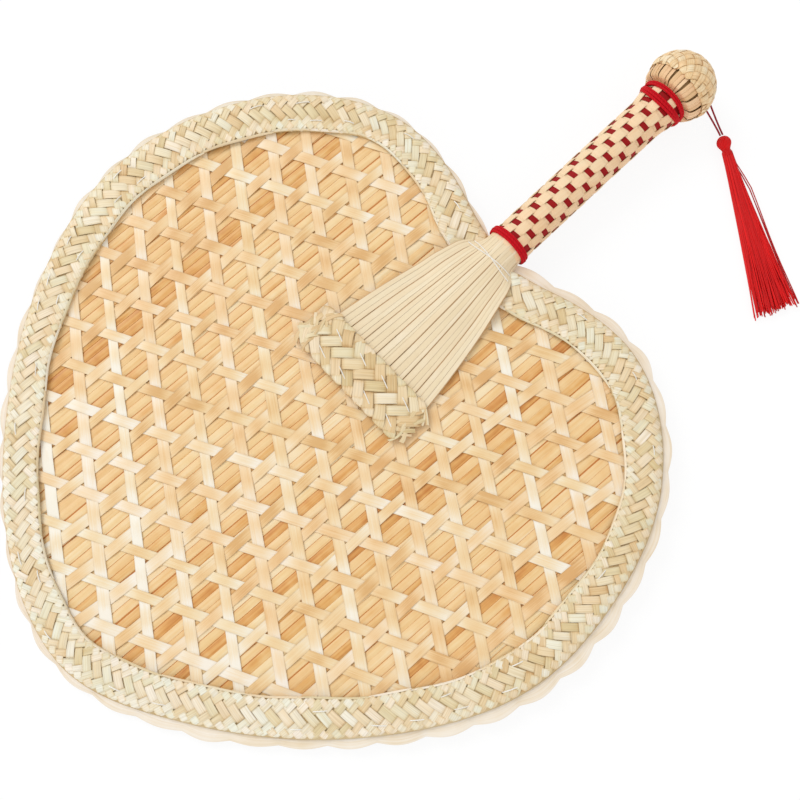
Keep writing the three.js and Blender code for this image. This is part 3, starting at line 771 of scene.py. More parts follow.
@dataclass(frozen=True)
class StrawMat:
    """The layer of straws that fills the blade."""

    edge: HeartEdge
    to_row: Matrix
    seed: int = 11
    pitch: float = 4.05
    lean: float = 2.6
    lean_spread: float = 0.2
    pivot_y: float = -20.0
    half_width: float = 2.04
    half_height: float = 0.5
    squareness: float = 0.55
    faces_round: int = 14
    lifts: Range = (-0.06, 0.04)
    base_half_height: float = 0.12
    inset: float = 7.0
    tone: float = 0.6
    tone_spread: float = 0.16
    tone_limits: Range = (0.05, 0.95)
    dark_share: float = 0.06
    dark_tones: Range = (0.1, 0.3)
    # How much the straws' tone rises per millimetre across the blade: darker towards -x, paler towards +x
    tone_slope: float = 0.0013

    def build(self) -> None:
        """Lays the straws side by side, nearly along the handle."""
        strands = Strands(self.seed)
        outline = self.edge.layer(self.inset)
        count = int(self.edge.heart.width / self.pitch)
        for straw in range(-count // 2, count // 2 + 1):
            self._lay(strands, outline, straw * self.pitch)
        self._base(strands, outline)
        strands.finish("mat_straws", MAT_STRAW, self.to_row, "fan", ["straw_mat"])

    def _base(self, strands: Strands, outline: Sequence[Vector]) -> None:
        """Adds the dark layer that shows between the straws, as painted shade in the gaps between them.

        Args:
            strands: The mesh that it goes into.
            outline: The layer's outline.
        """
        mesh = strands.mesh
        low = Vector((0, 0, -self.base_half_height))
        # Its points keep the default tone 0, the darkest straw colour, which stands in for the shade between the
        # straws
        face = mesh.faces.new([mesh.verts.new(point + low) for point in outline])
        raised = bmesh.ops.extrude_face_region(mesh, geom=[face])["geom"]
        corners = [part for part in raised if isinstance(part, bmesh.types.BMVert)]
        bmesh.ops.translate(mesh, vec=-2 * low, verts=corners)

    def _lay(self, strands: Strands, outline: Sequence[Vector], offset: float) -> None:
        """Lays one straw, in as many lengths as the outline leaves of it.

        Args:
            strands: The mesh that it goes into.
            outline: The layer's outline.
            offset: How far from the blade's middle it lies.
        """
        chance = strands.chance
        angle = math.radians(90 - self.lean + strands.jitter(self.lean_spread))
        direction = Vector((math.cos(angle), math.sin(angle), 0))
        across = Vector((direction.y, -direction.x, 0))
        origin = Vector((offset, self.pivot_y, 0))
        tone = clamp(chance.gauss(self.tone, self.tone_spread) + self.tone_slope * offset, *self.tone_limits)
        if chance.random() < self.dark_share:
            tone = chance.uniform(*self.dark_tones)
        lift = chance.uniform(*self.lifts)
        for start, end in spans(origin, direction, outline):

            def place(share: float, side: float, start: float = start, end: float = end) -> Vector:
                """Gives a point of the straw, whose section is a rounded box."""
                turn = math.pi * side
                middle = origin + direction * mix(start, end, share)
                rise = math.sin(turn)
                rounded = math.copysign(abs(rise) ** self.squareness, rise) * self.half_height + lift
                return middle + across * math.cos(turn) * self.half_width + Vector((0, 0, rounded))

            strands.ribbon(2, self.faces_round, end - start, tone, place)


class Way(Enum):
    """The three ways that the lattice's strips run, in degrees from the blade's width."""

    ALONG = 90.0
    FALLING = -30.0
    RISING = 30.0


GOES_OVER = {Way.FALLING: Way.ALONG, Way.ALONG: Way.RISING, Way.RISING: Way.FALLING}
STRIP_TONES = {Way.ALONG: (0.1, 0.6), Way.FALLING: (0.45, 0.85), Way.RISING: (0.25, 0.72)}


@dataclass(frozen=True)
class Lattice:
    """Strips woven in three ways, which leave hexagons open."""

    edge: HeartEdge
    to_row: Matrix
    seeds: tuple[int, int] = (21, 23)
    spacing: float = 16.92
    strip_width: float = 4.8
    width_spread: Range = (0.86, 1.06)
    turn: float = math.radians(-2.2)
    centre: Range = (-8.6, 2.3)
    drift_x: tuple[float, ...] = (-0.66, -3.54, -4.65, 5.97, 6.39, 5.94, 1.69, 1.67, 10.17, 11.50)
    drift_y: tuple[float, ...] = (-0.24, -0.16, 0.58, 1.82, 2.36, 1.42, -2.89, 3.78, 1.79, 1.67)
    drift_rounds: int = 8
    aside: float = 0.35
    sways: Range = (0.1, 0.45)
    sway_length: float = 31.0
    middle_height: float = 1.0
    wave: float = 0.25
    crown: float = 0.06
    thickness: float = 0.22
    # Painted light and shade: a strip is paler on the slopes of its weave that face the key light, which stands on
    # the -x side, and darker on those that face away. The slow change after them is the strip's own tone. The
    # sheen is a painted highlight towards the blade's tip
    painted_shading: float = 0.2
    shading_lag: float = 1.2
    slow_shading: float = 0.14
    slow_turn: float = 3.7
    sheen: float = 0.26
    painted_sheen_start: float = 45.0
    painted_sheen_end: float = 125.0
    inset: float = 9.0
    shortest: float = 14.0
    step: float = 2.2
    columns: int = 3

    def build(self) -> None:
        """Weaves the strips on both faces."""
        outline = [self._undrifted(point) for point in self.edge.layer(self.inset)]
        count = int(self.edge.heart.width / self.spacing)
        for face, seed in zip(Face, self.seeds):
            strands = Strands(seed)
            for way in Way:
                direction, normal = self._directions(way)
                for line in range(-count, count + 1):
                    origin = normal * self._offset(normal, line)
                    for start, end in spans(origin, direction, outline):
                        if end - start > self.shortest:
                            self._lay(strands, way, origin, start, end, face)
            name, node = f"{face.word}_weave", f"{face.word}_lattice"
            strands.finish(name, BAMBOO, self.to_row, "fan", [node], self.thickness)

    def _directions(self, way: Way) -> tuple[Vector, Vector]:
        """Returns the direction of a way's strips and the direction across them."""
        angle = math.radians(way.value) + self.turn
        return Vector((math.cos(angle), math.sin(angle), 0)), Vector((-math.sin(angle), math.cos(angle), 0))

    def _offset(self, normal: Vector, line: int) -> float:
        """Returns how far from the frame's origin a strip's middle line passes."""
        return normal.dot(Vector((*self.centre, 0))) + self.spacing * (line + 0.5)

    def _drift(self, point: Vector) -> Vector:
        """Returns how far the hand-woven lattice drifts from the even one at a point."""
        half = self.edge.heart.width / 2
        u, v = point.x / half, point.y / half
        powers = (1, u, v, u * u, u * v, v * v, u ** 3, u * u * v, u * v * v, v ** 3)
        drifts = (self.drift_x, self.drift_y)
        return Vector((*(sum(map(operator.mul, shares, powers)) for shares in drifts), 0))

    def _undrifted(self, point: Vector) -> Vector:
        """Returns the point of the even lattice that drifts to a point."""
        even = point
        for _ in range(self.drift_rounds):
            even = point - self._drift(even)
        return even

    def _lay(self, strands: Strands, way: Way, origin: Vector, start: float, end: float, face: Face) -> None:
        """Lays one strip, over one way's strips and under the other's.

        Args:
            strands: The mesh that it goes into.
            way: The way that it runs.
            origin: A point of its line.
            start: How far from there it starts.
            end: How far from there it ends.
            face: The face of the blade.
        """
        chance = strands.chance
        direction, normal = self._directions(way)
        other = self._directions(GOES_OVER[way])[1]
        over = (self._offset(other, 0) - other.dot(origin)) / other.dot(direction)
        period = 2 * self.spacing / math.sqrt(3)
        half_width = self.strip_width / 2 * chance.uniform(*self.width_spread)
        sway, phase = chance.uniform(*self.sways), chance.uniform(0, 2 * math.pi)
        aside = strands.jitter(self.aside)
        tone = chance.uniform(*STRIP_TONES[way])
        # Which slope gets the painted light depends on which way the strip runs from the key light
        lag = math.copysign(self.shading_lag, -direction.x)

        def place(share: float, side: float) -> Vector:
            """Gives a point of the strip, with its weave, its sway and the lattice's drift."""
            along = mix(start, end, share)
            swing = aside + sway * math.sin(along / self.sway_length + phase)
            height = self.middle_height + self.wave * math.cos(2 * math.pi * (along - over) / period)
            height += self.crown * arch(side)
            even = origin + direction * along + normal * (swing + half_width * side)
            return even + self._drift(even) + Vector((0, 0, face.value * height))

        def shade(share: float) -> float:
            """Gives painted light and shade on the weave's slopes, a slow change of own tone and a painted
            highlight near the tip.
            """
            along = mix(start, end, share)
            turn = 2 * math.pi * (along - over) / period
            sheen = self.sheen * ease(-(origin + direction * along).y, self.painted_sheen_start, self.painted_sheen_end)
            slow = self.slow_shading * math.sin(turn / self.slow_turn + phase)
            return self.painted_shading * math.sin(turn + lag) + slow + sheen

        steps = max(LEAST_STEPS, round((end - start) / self.step))
        strands.ribbon(steps, self.columns, end - start, tone, place, shade)


@dataclass(frozen=True)
class Braid:
    """A flat braid. Its strands slant across it, over two and under two, and turn back at its edges."""

    width: float
    rows: int = 3
    float_faces: Grid = (6, 2)
    fold_faces: Grid = (4, 4)
    slant: float = 45.0
    stray: float = 0.1
    lift: float = 0.28
    lift_spread: Range = (0.75, 1.2)
    dip: float = 0.42
    dip_power: float = 4.0
    reach: float = 1.2
    fill: float = 0.97
    fill_spread: Range = (0.9, 1.03)
    turn_spread: float = 3.5
    crown: float = 0.06
    tones: Range = (0.34, 0.82)
    tone_spread: float = 0.16
    # Painted shade: floats and folded squares darken towards both ends, where they dive or tuck beside their
    # neighbours
    end_painted_shade: float = -0.35
    end_painted_shade_power: float = 5.0
    edge_slide: float = 0.1
    edge_drop: float = 0.7
    fold_inset: float = 1.9
    fold_lift: float = 0.1
    fold_lift_spread: Range = (0.5, 1.3)
    fold_fill: Range = (0.82, 0.98)
    fold_turn_spread: float = 6.0
    fold_tilt: float = 0.1
    fold_tones: Range = (0.55, 0.95)
    fold_painted_shade: float = -0.3
    fold_painted_shade_power: float = 7.0

    @property
    def unit(self) -> float:
        """Half of a row's pitch."""
        return self.width / (2 * self.rows)

    def weave(self, strands: Strands, start: float, end: float, place: OnBand,
              pale: Callable[[float], float] = lambda distance: 0.0) -> None:
        """Lays the strands' floats in their rows.

        Args:
            strands: The mesh that they go into.
            start: Where the braid starts.
            end: Where it ends.
            place: Gives a point from how far along, across and up it is.
            pale: Gives a rise of tone for a distance along; the rims use it as a painted highlight.
        """
        count = int((end - start) / (2 * self.unit)) + 1
        chance = strands.chance
        tones = {}
        for row in range(self.rows):
            slant = -1 if row % 2 else 1
            for step in range(count):
                tone = tones.setdefault((slant, step - slant * row), chance.uniform(*self.tones))
                middle = start + (2 * step + row % 2) * self.unit
                self._float(strands, (middle, (2 * row + 1) * self.unit), slant, tone + pale(middle), place)
        for breadth in (self.fold_inset, self.width - self.fold_inset):
            for step in range(count):
                tone = chance.uniform(*self.fold_tones)
                middle = start + (2 * step + 1) * self.unit
                self._fold(strands, (middle, breadth), tone + pale(middle), place)

    def _at_edge(self, distance: float, breadth: float, height: float, place: OnBand) -> Vector:
        """Gives a strand's point, which is turned down where it would pass the braid's edge.

        Args:
            distance: How far along the braid it is.
            breadth: How far across it is.
            height: How far over the braid it is.
            place: Gives a point from how far along, across and up it is.

        Returns:
            The point.
        """
        excess = max(-breadth, breadth - self.width, 0.0)
        held = clamp(breadth, 0.0, self.width)
        folded = held + math.copysign(self.edge_slide * excess, breadth - held)
        return place(distance, folded, height - self.edge_drop * excess)

    def _float(self, strands: Strands, centre: Range, slant: int, tone: float, place: OnBand) -> None:
        """Lays one strand where it shows, over two others.

        Args:
            strands: The mesh that it goes into.
            centre: Its middle, along and across the braid.
            slant: The way it slants, 1 or -1.
            tone: Its tone.
            place: Gives a point from how far along, across and up it is.
        """
        chance = strands.chance
        width = self.unit * math.sqrt(2)
        half_length = width * self.reach
        half_width = width / 2 * self.fill * chance.uniform(*self.fill_spread)
        angle = math.radians(self.slant + strands.jitter(self.turn_spread))
        ahead, aside = math.cos(angle), slant * math.sin(angle)
        x, y = [value + strands.jitter(self.stray) * self.unit for value in centre]
        lift = self.lift * chance.uniform(*self.lift_spread)
        own_tone = clamp(tone + strands.jitter(self.tone_spread))

        def at(share: float, side: float) -> Vector:
            """Gives a point of the float, which dives at both ends."""
            along, across = (2 * share - 1) * half_length, side * half_width
            height = lift - (lift + self.dip) * ends(share, self.dip_power) + self.crown * arch(side)
            return self._at_edge(
                x + along * ahead - across * aside, y + along * aside + across * ahead, height, place)

        # Painted shade: the tone falls towards both ends, where the float dives under its neighbours
        strands.ribbon(
            *self.float_faces, 2 * half_length, own_tone, at,
            lambda share: self.end_painted_shade * ends(share, self.end_painted_shade_power))

    def _fold(self, strands: Strands, centre: Range, tone: float, place: OnBand) -> None:
        """Lays the square that shows where a strand turns back at the braid's edge.

        Args:
            strands: The mesh that it goes into.
            centre: Its middle, along and across the braid.
            tone: Its tone.
            place: Gives a point from how far along, across and up it is.
        """
        chance = strands.chance
        half = self.unit / math.sqrt(2) * chance.uniform(*self.fold_fill)
        angle = math.radians(self.slant + strands.jitter(self.fold_turn_spread))
        ahead, aside = math.cos(angle) * half, math.sin(angle) * half
        x, y = [value + strands.jitter(self.stray) * self.unit for value in centre]
        raised = self.lift + self.fold_lift * chance.uniform(*self.fold_lift_spread)
        tilts = [strands.jitter(self.fold_tilt) for _ in range(2)]

        def at(share: float, side: float) -> Vector:
            """Gives a point of the square."""
            along = 2 * share - 1
            height = raised + tilts[0] * along + tilts[1] * side
            return self._at_edge(
                x + along * ahead - side * aside, y + along * aside + side * ahead, height, place)

        # Painted shade: the square darkens towards both ends, into the gaps beside it
        strands.ribbon(
            *self.fold_faces, 2 * half, tone, at,
            lambda share: self.fold_painted_shade * ends(share, self.fold_painted_shade_power))


@dataclass(frozen=True)
class RimPlaits:
    """The two plaits that are sewn round the blade, and the scalloped edge of the back one."""

    edge: HeartEdge
    to_row: Matrix
    seeds: tuple[int, int] = (31, 37)
    leaf_seed: int = 39
    braid: Braid = Braid(16.5)
    front_outer: tuple[float, ...] = (
        1.5, 1.3, 1.2, 1.4, 2.0, 1.4, 0.8, 1.8, 4.9, 4.2, 3.6, 5.8, 3.3, 3.2, 4.6)
    front_inner: tuple[float, ...] = (
        18.2, 17.0, 18.8, 20.1, 19.5, 17.0, 16.2, 17.6, 21.2, 20.2, 20.4, 22.2, 19.4, 20.2, 21.5)
    back_outer: tuple[float, ...] = (3.4, 2.8, 3.6, 3.0, 3.9, 3.2, 2.9, 3.5)
    back_inner: tuple[float, ...] = (19.6, 19.0, 20.2, 19.4, 20.4, 19.8, 19.1, 20.0)
    inner_sway: float = 0.35
    sway_lengths: Range = (7.3, 17.9)
    roll: float = 3.4
    edge_height: float = -0.45
    top_height: float = 3.3
    inner_dip: float = 0.35
    inner_dip_start: float = -1.5
    inner_dip_end: float = 0.5
    back_sink: float = 0.4
    front_least: float = 0.4
    back_least: float = 0.85
    thickness: float = 0.3
    core_depth: float = 0.45
    # The core's low tone shows as a painted shadow line along the plait's outer edge
    core_tone: float = 0.25
    core_steps: int = 360
    # The core's section by the braid's two edges, as steps across it and down
    # The first step reaches past the floats' outer edge, where the core shows as that thin painted shadow line
    core_outside: tuple[Range, ...] = ((-0.45, -0.2), (2.0, 0.0), (4.5, 0.0))
    core_inside: tuple[Range, ...] = ((-1.0, 0.0), (-0.2, -0.25), (0.0, -1.1))
    hem_width: float = 0.9
    hem_lengths: Range = (16.0, 42.0)
    hem_offsets: Range = (-0.5, 0.2)
    hem_slope: float = 0.5
    hem_taper: float = 0.6
    hem_height: float = 0.35
    hem_fall: float = 0.75
    hem_fall_start: float = -0.2
    hem_fall_end: float = 1.4
    hem_dive: float = 0.3
    hem_power: float = 4.0
    hem_step: float = 2.5
    hem_columns: int = 3
    hem_overlap: float = 2.0
    hem_tones: Range = (0.5, 0.95)
    scallop_pitch: float = 20.5
    scallop_depth: float = 1.8
    scallop_depths: Range = (0.6, 1.25)
    scallop_notches: tuple[float, ...] = (
        0.5, 0.7, 0.2, 0.4, 1.6, -0.2, 0.4, 0.1, 0.9, 1.3, -0.4, 1.5, 0.4, 0.5, 1.0)
    scallop_start: float = 8.5
    scallop_height: float = 0.35
    scallop_bulge: float = 0.35
    scallop_droop: float = 0.25
    scallop_curl: float = 0.2
    scallop_roundness: float = 1.1
    scallop_steps: int = 12
    scallop_columns: int = 4
    scallop_tone: float = 0.55
    scallop_tone_spread: float = 0.08
    # A painted highlight: the plaits' tone rises towards the blade's tip
    sheen: float = 0.17
    painted_sheen_start: float = 50.0
    painted_sheen_end: float = 140.0

    def build(self) -> None:
        """Weaves both plaits and folds the scalloped leaf over the edge."""
        for face, seed in zip(Face, self.seeds):
            strands = Strands(seed)
            self._core(strands, face)
            self._hem(strands, face)
            place = functools.partial(self.place, face=face)
            # The floats and folds get a painted highlight towards the blade's tip
            self.braid.weave(strands, 0.0, self.edge.length, place, self._painted_sheen)
            name, node = f"{face.word}_plait", f"{face.word}_rim_plait"
            strands.finish(name, PLAIT_STRAW, self.to_row, "fan", [node], self.thickness)
        leaf = Strands(self.leaf_seed)
        self._scallops(leaf)
        leaf.finish("scalloped_leaf", EDGE_LEAF, self.to_row, "fan", ["back_rim_plait"], self.thickness)

    def _painted_sheen(self, distance: float) -> float:
        """Returns the painted highlight, a rise of tone towards the blade's tip."""
        return self.sheen * ease(-self.edge.place(distance, 0, 0).y, self.painted_sheen_start, self.painted_sheen_end)

    def _surface(self, breadth: float) -> float:
        """Returns the plait's height at a distance from its outer edge."""
        rise = ease(breadth, -self.roll, self.roll)
        width = self.braid.width
        dip = ease(breadth, width + self.inner_dip_start, width + self.inner_dip_end)
        return mix(self.edge_height, self.top_height, rise) - self.inner_dip * dip

    def place(self, distance: float, breadth: float, height: float, face: Face) -> Vector:
        """Gives a point on a plait.

        Args:
            distance: How far along the outline it is.
            breadth: How far from the plait's outer edge it is.
            height: How far over the plait's surface it is.
            face: The face of the blade.

        Returns:
            The point.
        """
        front = face is Face.FRONT
        outer, inner = (self.front_outer, self.front_inner) if front else (self.back_outer, self.back_inner)
        share = distance / self.edge.length
        short, long = self.sway_lengths
        sway = self.inner_sway * (math.sin(distance / short) + math.sin(distance / long + 1))
        inset = mix(wander(outer, share), wander(inner, share) + sway, breadth / self.braid.width)
        over = self._surface(breadth) + height
        held = max(over, self.front_least) if front else -max(over - self.back_sink, self.back_least)
        return self.edge.place(distance, inset, held)

    def _core(self, strands: Strands, face: Face) -> None:
        """Adds the sheet under the floats, which turns down at the plait's inner edge. Its dark outer edge shows
        beyond the floats as a painted shadow line.

        Args:
            strands: The mesh that it goes into.
            face: The face of the blade.
        """
        inside = [(self.braid.width + breadth, drop) for breadth, drop in self.core_inside]
        section = [*self.core_outside, *inside]
        last = len(section) - 1

        def place(share: float, side: float) -> Vector:
            """Gives a point of the sheet."""
            breadth, drop = section[round((side + 1) / 2 * last)]
            return self.place(share * self.edge.length, breadth, drop - self.core_depth, face)

        strands.ribbon(self.core_steps, last, self.edge.length, self.core_tone, place)

    def _hem(self, strands: Strands, face: Face) -> None:
        """Adds the leaves that are rolled over the plait's inner edge, end to end.

        Args:
            strands: The mesh that it goes into.
            face: The face of the blade.
        """
        chance = strands.chance
        total = self.edge.length
        begin = 0.0
        while begin < total:
            length = min(chance.uniform(*self.hem_lengths), total - begin)
            middle = self.braid.width + chance.uniform(*self.hem_offsets)
            slope = strands.jitter(self.hem_slope)

            def place(share: float, side: float, begin: float = begin, length: float = length,
                      middle: float = middle, slope: float = slope) -> Vector:
                """Gives a point of the leaf, which narrows and dives at both ends."""
                end = ends(share, self.hem_power)
                half_width = (1 - self.hem_taper * end) * self.hem_width / 2
                fall = self.hem_fall * ease(side, self.hem_fall_start, self.hem_fall_end)
                height = self.hem_height - fall - self.hem_dive * end
                breadth = middle + slope * (share - 0.5) + side * half_width
                return self.place(begin + share * length, breadth, height, face)

            steps = max(LEAST_STEPS, round(length / self.hem_step))
            strands.ribbon(steps, self.hem_columns, length, chance.uniform(*self.hem_tones), place)
            begin += length - self.hem_overlap if begin + length < total else length

    def _scallops(self, strands: Strands) -> None:
        """Adds the leaf that is folded over the edge and stands out in scallops beyond the front plait.

        Args:
            strands: The mesh that it goes into.
        """
        count = round(self.edge.length / self.scallop_pitch)
        depths = [self.scallop_depth * strands.chance.uniform(*self.scallop_depths) for _ in range(count)]
        tones = [strands.jitter(self.scallop_tone_spread) for _ in range(count)]

        def scallop(share: float) -> int:
            """Gives the scallop at a share of the edge's length."""
            return min(int(share * count + TINY), count - 1)

        def place(share: float, side: float) -> Vector:
            """Gives a point of the leaf."""
            hump = abs(math.sin(math.pi * (share * count - scallop(share)))) ** self.scallop_roundness
            tip = wander(self.scallop_notches, share) - depths[scallop(share)] * hump
            depth = (1 - side) / 2
            bulge = self.scallop_bulge * math.sin(math.pi * depth)
            height = bulge - self.scallop_droop * depth + self.scallop_curl * hump * depth
            inset = mix(self.scallop_start, tip, depth)
            return self.edge.place(share * self.edge.length, inset, height - self.scallop_height)

        steps = self.scallop_steps * count
        strands.ribbon(
            steps, self.scallop_columns, self.edge.length, self.scallop_tone, place,
            lambda share: tones[scallop(share)])


@dataclass(frozen=True)
class SkirtPatches:
    """The short braids that are sewn over the ends of the skirt."""

    to_row: Matrix
    seeds: tuple[int, int] = (41, 43)
    braid: Braid = Braid(
        21.0, lift=0.3, reach=1.08, tones=(0.3, 0.64), fold_inset=0.4, fold_lift=0.0, fold_tones=(0.4, 0.7))
    left_end: float = -35.5
    width: float = 67.8
    top: float = 26.05
    height: float = 3.95
    flat_half_width: float = 29.0
    end_drop: float = 1.1
    drop_start: float = -3.0
    drop_end: float = 2.0
    end_rounding: float = 0.08
    straight_share: float = 0.4
    thickness: float = 0.32
    core_faces: Grid = (24, 4)
    core_margins: Range = (1.5, 1.0)
    core_depth: float = 0.45
    core_tone: float = 0.12
    frays: int = 26
    fray_faces: Grid = (6, 2)
    fray_turn: float = 0.8
    fray_starts: Range = (0.2, 7.0)
    fray_margin: float = 2.5
    fray_half_lengths: Range = (2.5, 5.0)
    fray_half_widths: Range = (0.35, 1.1)
    fray_heights: Range = (0.25, 0.6)
    fray_dive: float = 0.6
    fray_power: float = 3.0
    fray_crown: float = 0.08
    fray_tones: Range = (0.1, 0.65)

    def build(self) -> None:
        """Weaves both patches."""
        for face, seed in zip(Face, self.seeds):
            strands = Strands(seed)
            self._core(strands, face)
            unit = self.braid.unit
            self.braid.weave(strands, unit, self.width - 2 * unit, functools.partial(self.place, face=face))
            for fray in range(2 * self.frays):
                self._fray(strands, fray % 2, face)
            name, node = f"{face.word}_patch", f"{face.word}_skirt_patch"
            strands.finish(name, PLAIT_STRAW, self.to_row, "fan", [node], self.thickness)

    def place(self, distance: float, breadth: float, height: float, face: Face) -> Vector:
        """Gives a point on a patch.

        Args:
            distance: How far from its left end it is.
            breadth: How far below its upper edge it is.
            height: How far over its surface it is.
            face: The face of the blade.

        Returns:
            The point.
        """
        off_middle = abs(2 * breadth / self.braid.width - 1)
        corner = max(off_middle - self.straight_share, 0.0) / (1 - self.straight_share)
        half = self.width / 2
        x = self.left_end + half + (distance - half) * (1 - self.end_rounding * corner * corner)
        drop = self.end_drop * ease(abs(x), self.flat_half_width + self.drop_start, half + self.drop_end)
        return Vector((x, self.top - breadth, face.value * (self.height + height - drop)))

    def _core(self, strands: Strands, face: Face) -> None:
        """Adds the sheet under the floats.

        Args:
            strands: The mesh that it goes into.
            face: The face of the blade.
        """
        end, edge = self.core_margins

        def place(share: float, side: float) -> Vector:
            """Gives a point of the sheet."""
            breadth = mix(edge, self.braid.width - edge, (side + 1) / 2)
            return self.place(mix(end, self.width - end, share), breadth, -self.core_depth, face)

        strands.ribbon(*self.core_faces, self.width, self.core_tone, place)

    def _fray(self, strands: Strands, right: int, face: Face) -> None:
        """Folds one loose end of straw over an end of a patch.

        Args:
            strands: The mesh that it goes into.
            right: 1 at the right end and 0 at the left.
            face: The face of the blade.
        """
        chance = strands.chance
        angle = math.pi / 2 + strands.jitter(self.fray_turn)
        ahead, aside = math.cos(angle), math.sin(angle)
        start = chance.uniform(*self.fray_starts)
        breadth = chance.uniform(self.fray_margin, self.braid.width - self.fray_margin)
        half_length = chance.uniform(*self.fray_half_lengths)
        half_width = chance.uniform(*self.fray_half_widths)
        raised = chance.uniform(*self.fray_heights)

        def place(share: float, side: float) -> Vector:
            """Gives a point of the straw, which dives at both ends."""
            along = (2 * share - 1) * half_length
            inwards = start + along * ahead - side * half_width * aside
            below = breadth + along * aside + side * half_width * ahead
            height = raised - self.fray_dive * ends(share, self.fray_power) + self.fray_crown * arch(side)
            return self.place(self.width - inwards if right else inwards, below, height, face)

        strands.ribbon(*self.fray_faces, 2 * half_length, chance.uniform(*self.fray_tones), place)


@dataclass(frozen=True)
class Handle:
    """The palm strips, the ribbon that is woven through them and the yarn that binds them."""

    to_row: Matrix
    strips: int = 13
    first_seed: int = 100
    neck_height: float = 102.9
    grip_length: float = 93.9
    top_binding_step: float = 4.3
    twist: float = math.radians(28)
    level_radius: float = 8.45
    head_radius: float = 9.5
    swell_start: float = 188.0
    swell_end: float = 195.5
    weave: float = 0.36
    weave_squareness: float = 2.0
    weave_out: float = 4.0
    weave_in: float = 1.0
    strip_width: float = 4.45
    strip_thickness: float = 0.3
    strip_crown: float = 0.26
    strip_gap: float = 0.3
    strip_lap: float = 1.0
    grip_tones: Range = (0.24, 0.42)
    steps_per_turn: int = 10
    grip_columns: int = 3
    weft_seed: int = 59
    weft_start: float = 103.2
    weft_pitch: float = 5.52
    weft_turns: int = 18
    weft_width: float = 2.65
    weft_lift: float = 0.32
    weft_crown: float = 0.12
    weft_thickness: float = 0.34
    weft_tone: float = 0.32
    weft_steps: int = 3
    weft_columns: int = 2
    skirt_top: float = 100.45
    skirt_length: float = 74.4
    skirt_tuck: float = 10.0
    skirt_end_width: float = 56.6
    skirt_bow: float = 7.0
    skirt_flat: float = 2.5
    skirt_rise: float = 12.0
    skirt_neck_half: float = 11.5
    skirt_steps: int = 34
    skirt_columns: int = 2
    skirt_tones: Range = (0.7, 0.9)
    skirt_lifts: Range = (-0.08, 0.12)
    skirt_crown: float = 0.08
    lining_depth: float = 0.32
    cut_near: float = 0.15
    cut_far: float = 0.5
    cut_gap: float = 0.015
    fork_tip: float = 3.0
    fork_cover: float = 0.6
    fork_end: float = 52.3
    notch_height: float = 86.0
    rim_reach: float = 76.7
    rim_lift: float = 2.8
    # The collar's two curves, as steps out from the head's radius and up from the second top binding
    flare: tuple[Range, ...] = ((0.0, 1.5), (0.0, 2.7), (2.0, 2.6), (3.1, 2.75))
    cup: tuple[Range, ...] = ((3.1, 2.75), (4.3, 3.0), (5.25, 6.9), (5.25, 10.9))
    collar_steps: int = 9
    collar_columns: int = 2
    collar_tapers: Range = (0.99, 0.84)
    collar_splits: int = 3
    collar_gap: float = 0.06
    collar_lifts: Range = (-0.15, 0.25)
    collar_tones: Range = (0.02, 0.3)
    collar_crown: float = 0.25
    yarn_seed: int = 61
    yarn_radius: float = 0.68
    yarn_pitch: float = 1.2
    yarn_bulge: float = 0.45
    yarn_steps: int = 40
    yarn_sides: int = 8
    yarn_tone: float = 0.55
    neck_yarn_lift: float = 1.0
    neck_turns: int = 3
    top_yarn_lift: float = 1.1
    second_top_turns: int = 2
    first_top_turns: int = 3
    first_top_drop: float = 2.3
    first_top_sag: float = 3.6
    sag_shares: Range = (1.25, 0.5)
    slipped_pitch: float = 0.6

    @property
    def top(self) -> float:
        """The height of the second top binding."""
        return self.neck_height + self.grip_length + self.top_binding_step

    def build(self) -> None:
        """Makes the strips, the ribbon and the bindings."""
        for index in range(self.strips):
            self._strip(index)
        self._weft()
        radius = self.level_radius + self.neck_yarn_lift
        self._binding("neck", self.neck_height, radius, self.neck_turns)
        radius = self.head_radius + self.top_yarn_lift
        self._binding("second_top", self.top, radius, self.second_top_turns)
        height = self.top - self.first_top_drop
        self._binding("first_top", height, radius, self.first_top_turns, self.first_top_sag)

    def bearing(self, index: float, height: float) -> float:
        """Returns a strip's angle round the handle from the front, with the handle's twist."""
        twisted = clamp((height - self.neck_height) / self.grip_length)
        return (index - (self.strips - 1) / 2) * (2 * math.pi / self.strips) + self.twist * twisted

    @staticmethod
    def around(radius: float, bearing: float, height: float) -> Vector:
        """Returns a point beside the handle's axis."""
        return Vector((radius * math.sin(bearing), height, radius * math.cos(bearing)))

    def _station(self, index: float, radius: float, height: float, width: float,
                 lean: float = 0.0) -> Station:
        """Gives a station on the handle.

        Args:
            index: The strip, or a place between two.
            radius: Its distance from the axis.
            height: Its height.
            width: Its width.
            lean: How far its face turns from outwards towards the blade.

        Returns:
            The station.
        """
        bearing = self.bearing(index, height)
        return Station(
            self.around(radius, bearing, height),
            Vector((math.cos(bearing), 0, -math.sin(bearing))),
            self.around(math.cos(lean), bearing, -math.sin(lean)),
            width)

    def _level(self, height: float) -> float:
        """Returns the ribbon's distance from the axis, which grows under the top bindings."""
        return mix(self.level_radius, self.head_radius, ease(height, self.swell_start, self.swell_end))

    def _radius(self, index: int, height: float) -> float:
        """Gives a strip's distance from the axis, over or under the ribbon.

        Args:
            index: The strip.
            height: Where along the handle it is.

        Returns:
            The distance.
        """
        start = self.weft_start
        end = start + self.weft_turns * self.weft_pitch
        turn = (height - start) / self.weft_pitch + (0.5 - index) / self.strips
        wave = math.cos(math.pi * (turn + index))
        held = math.sin(math.pi / 2 * clamp(self.weave_squareness * wave, -1.0, 1.0))
        begun = ease(height, start - self.weave_out, start + self.weave_in)
        inside = begun * (1 - ease(height, end - self.weave_in, end + self.weave_out))
        return self._level(height) - self.weave * held * inside

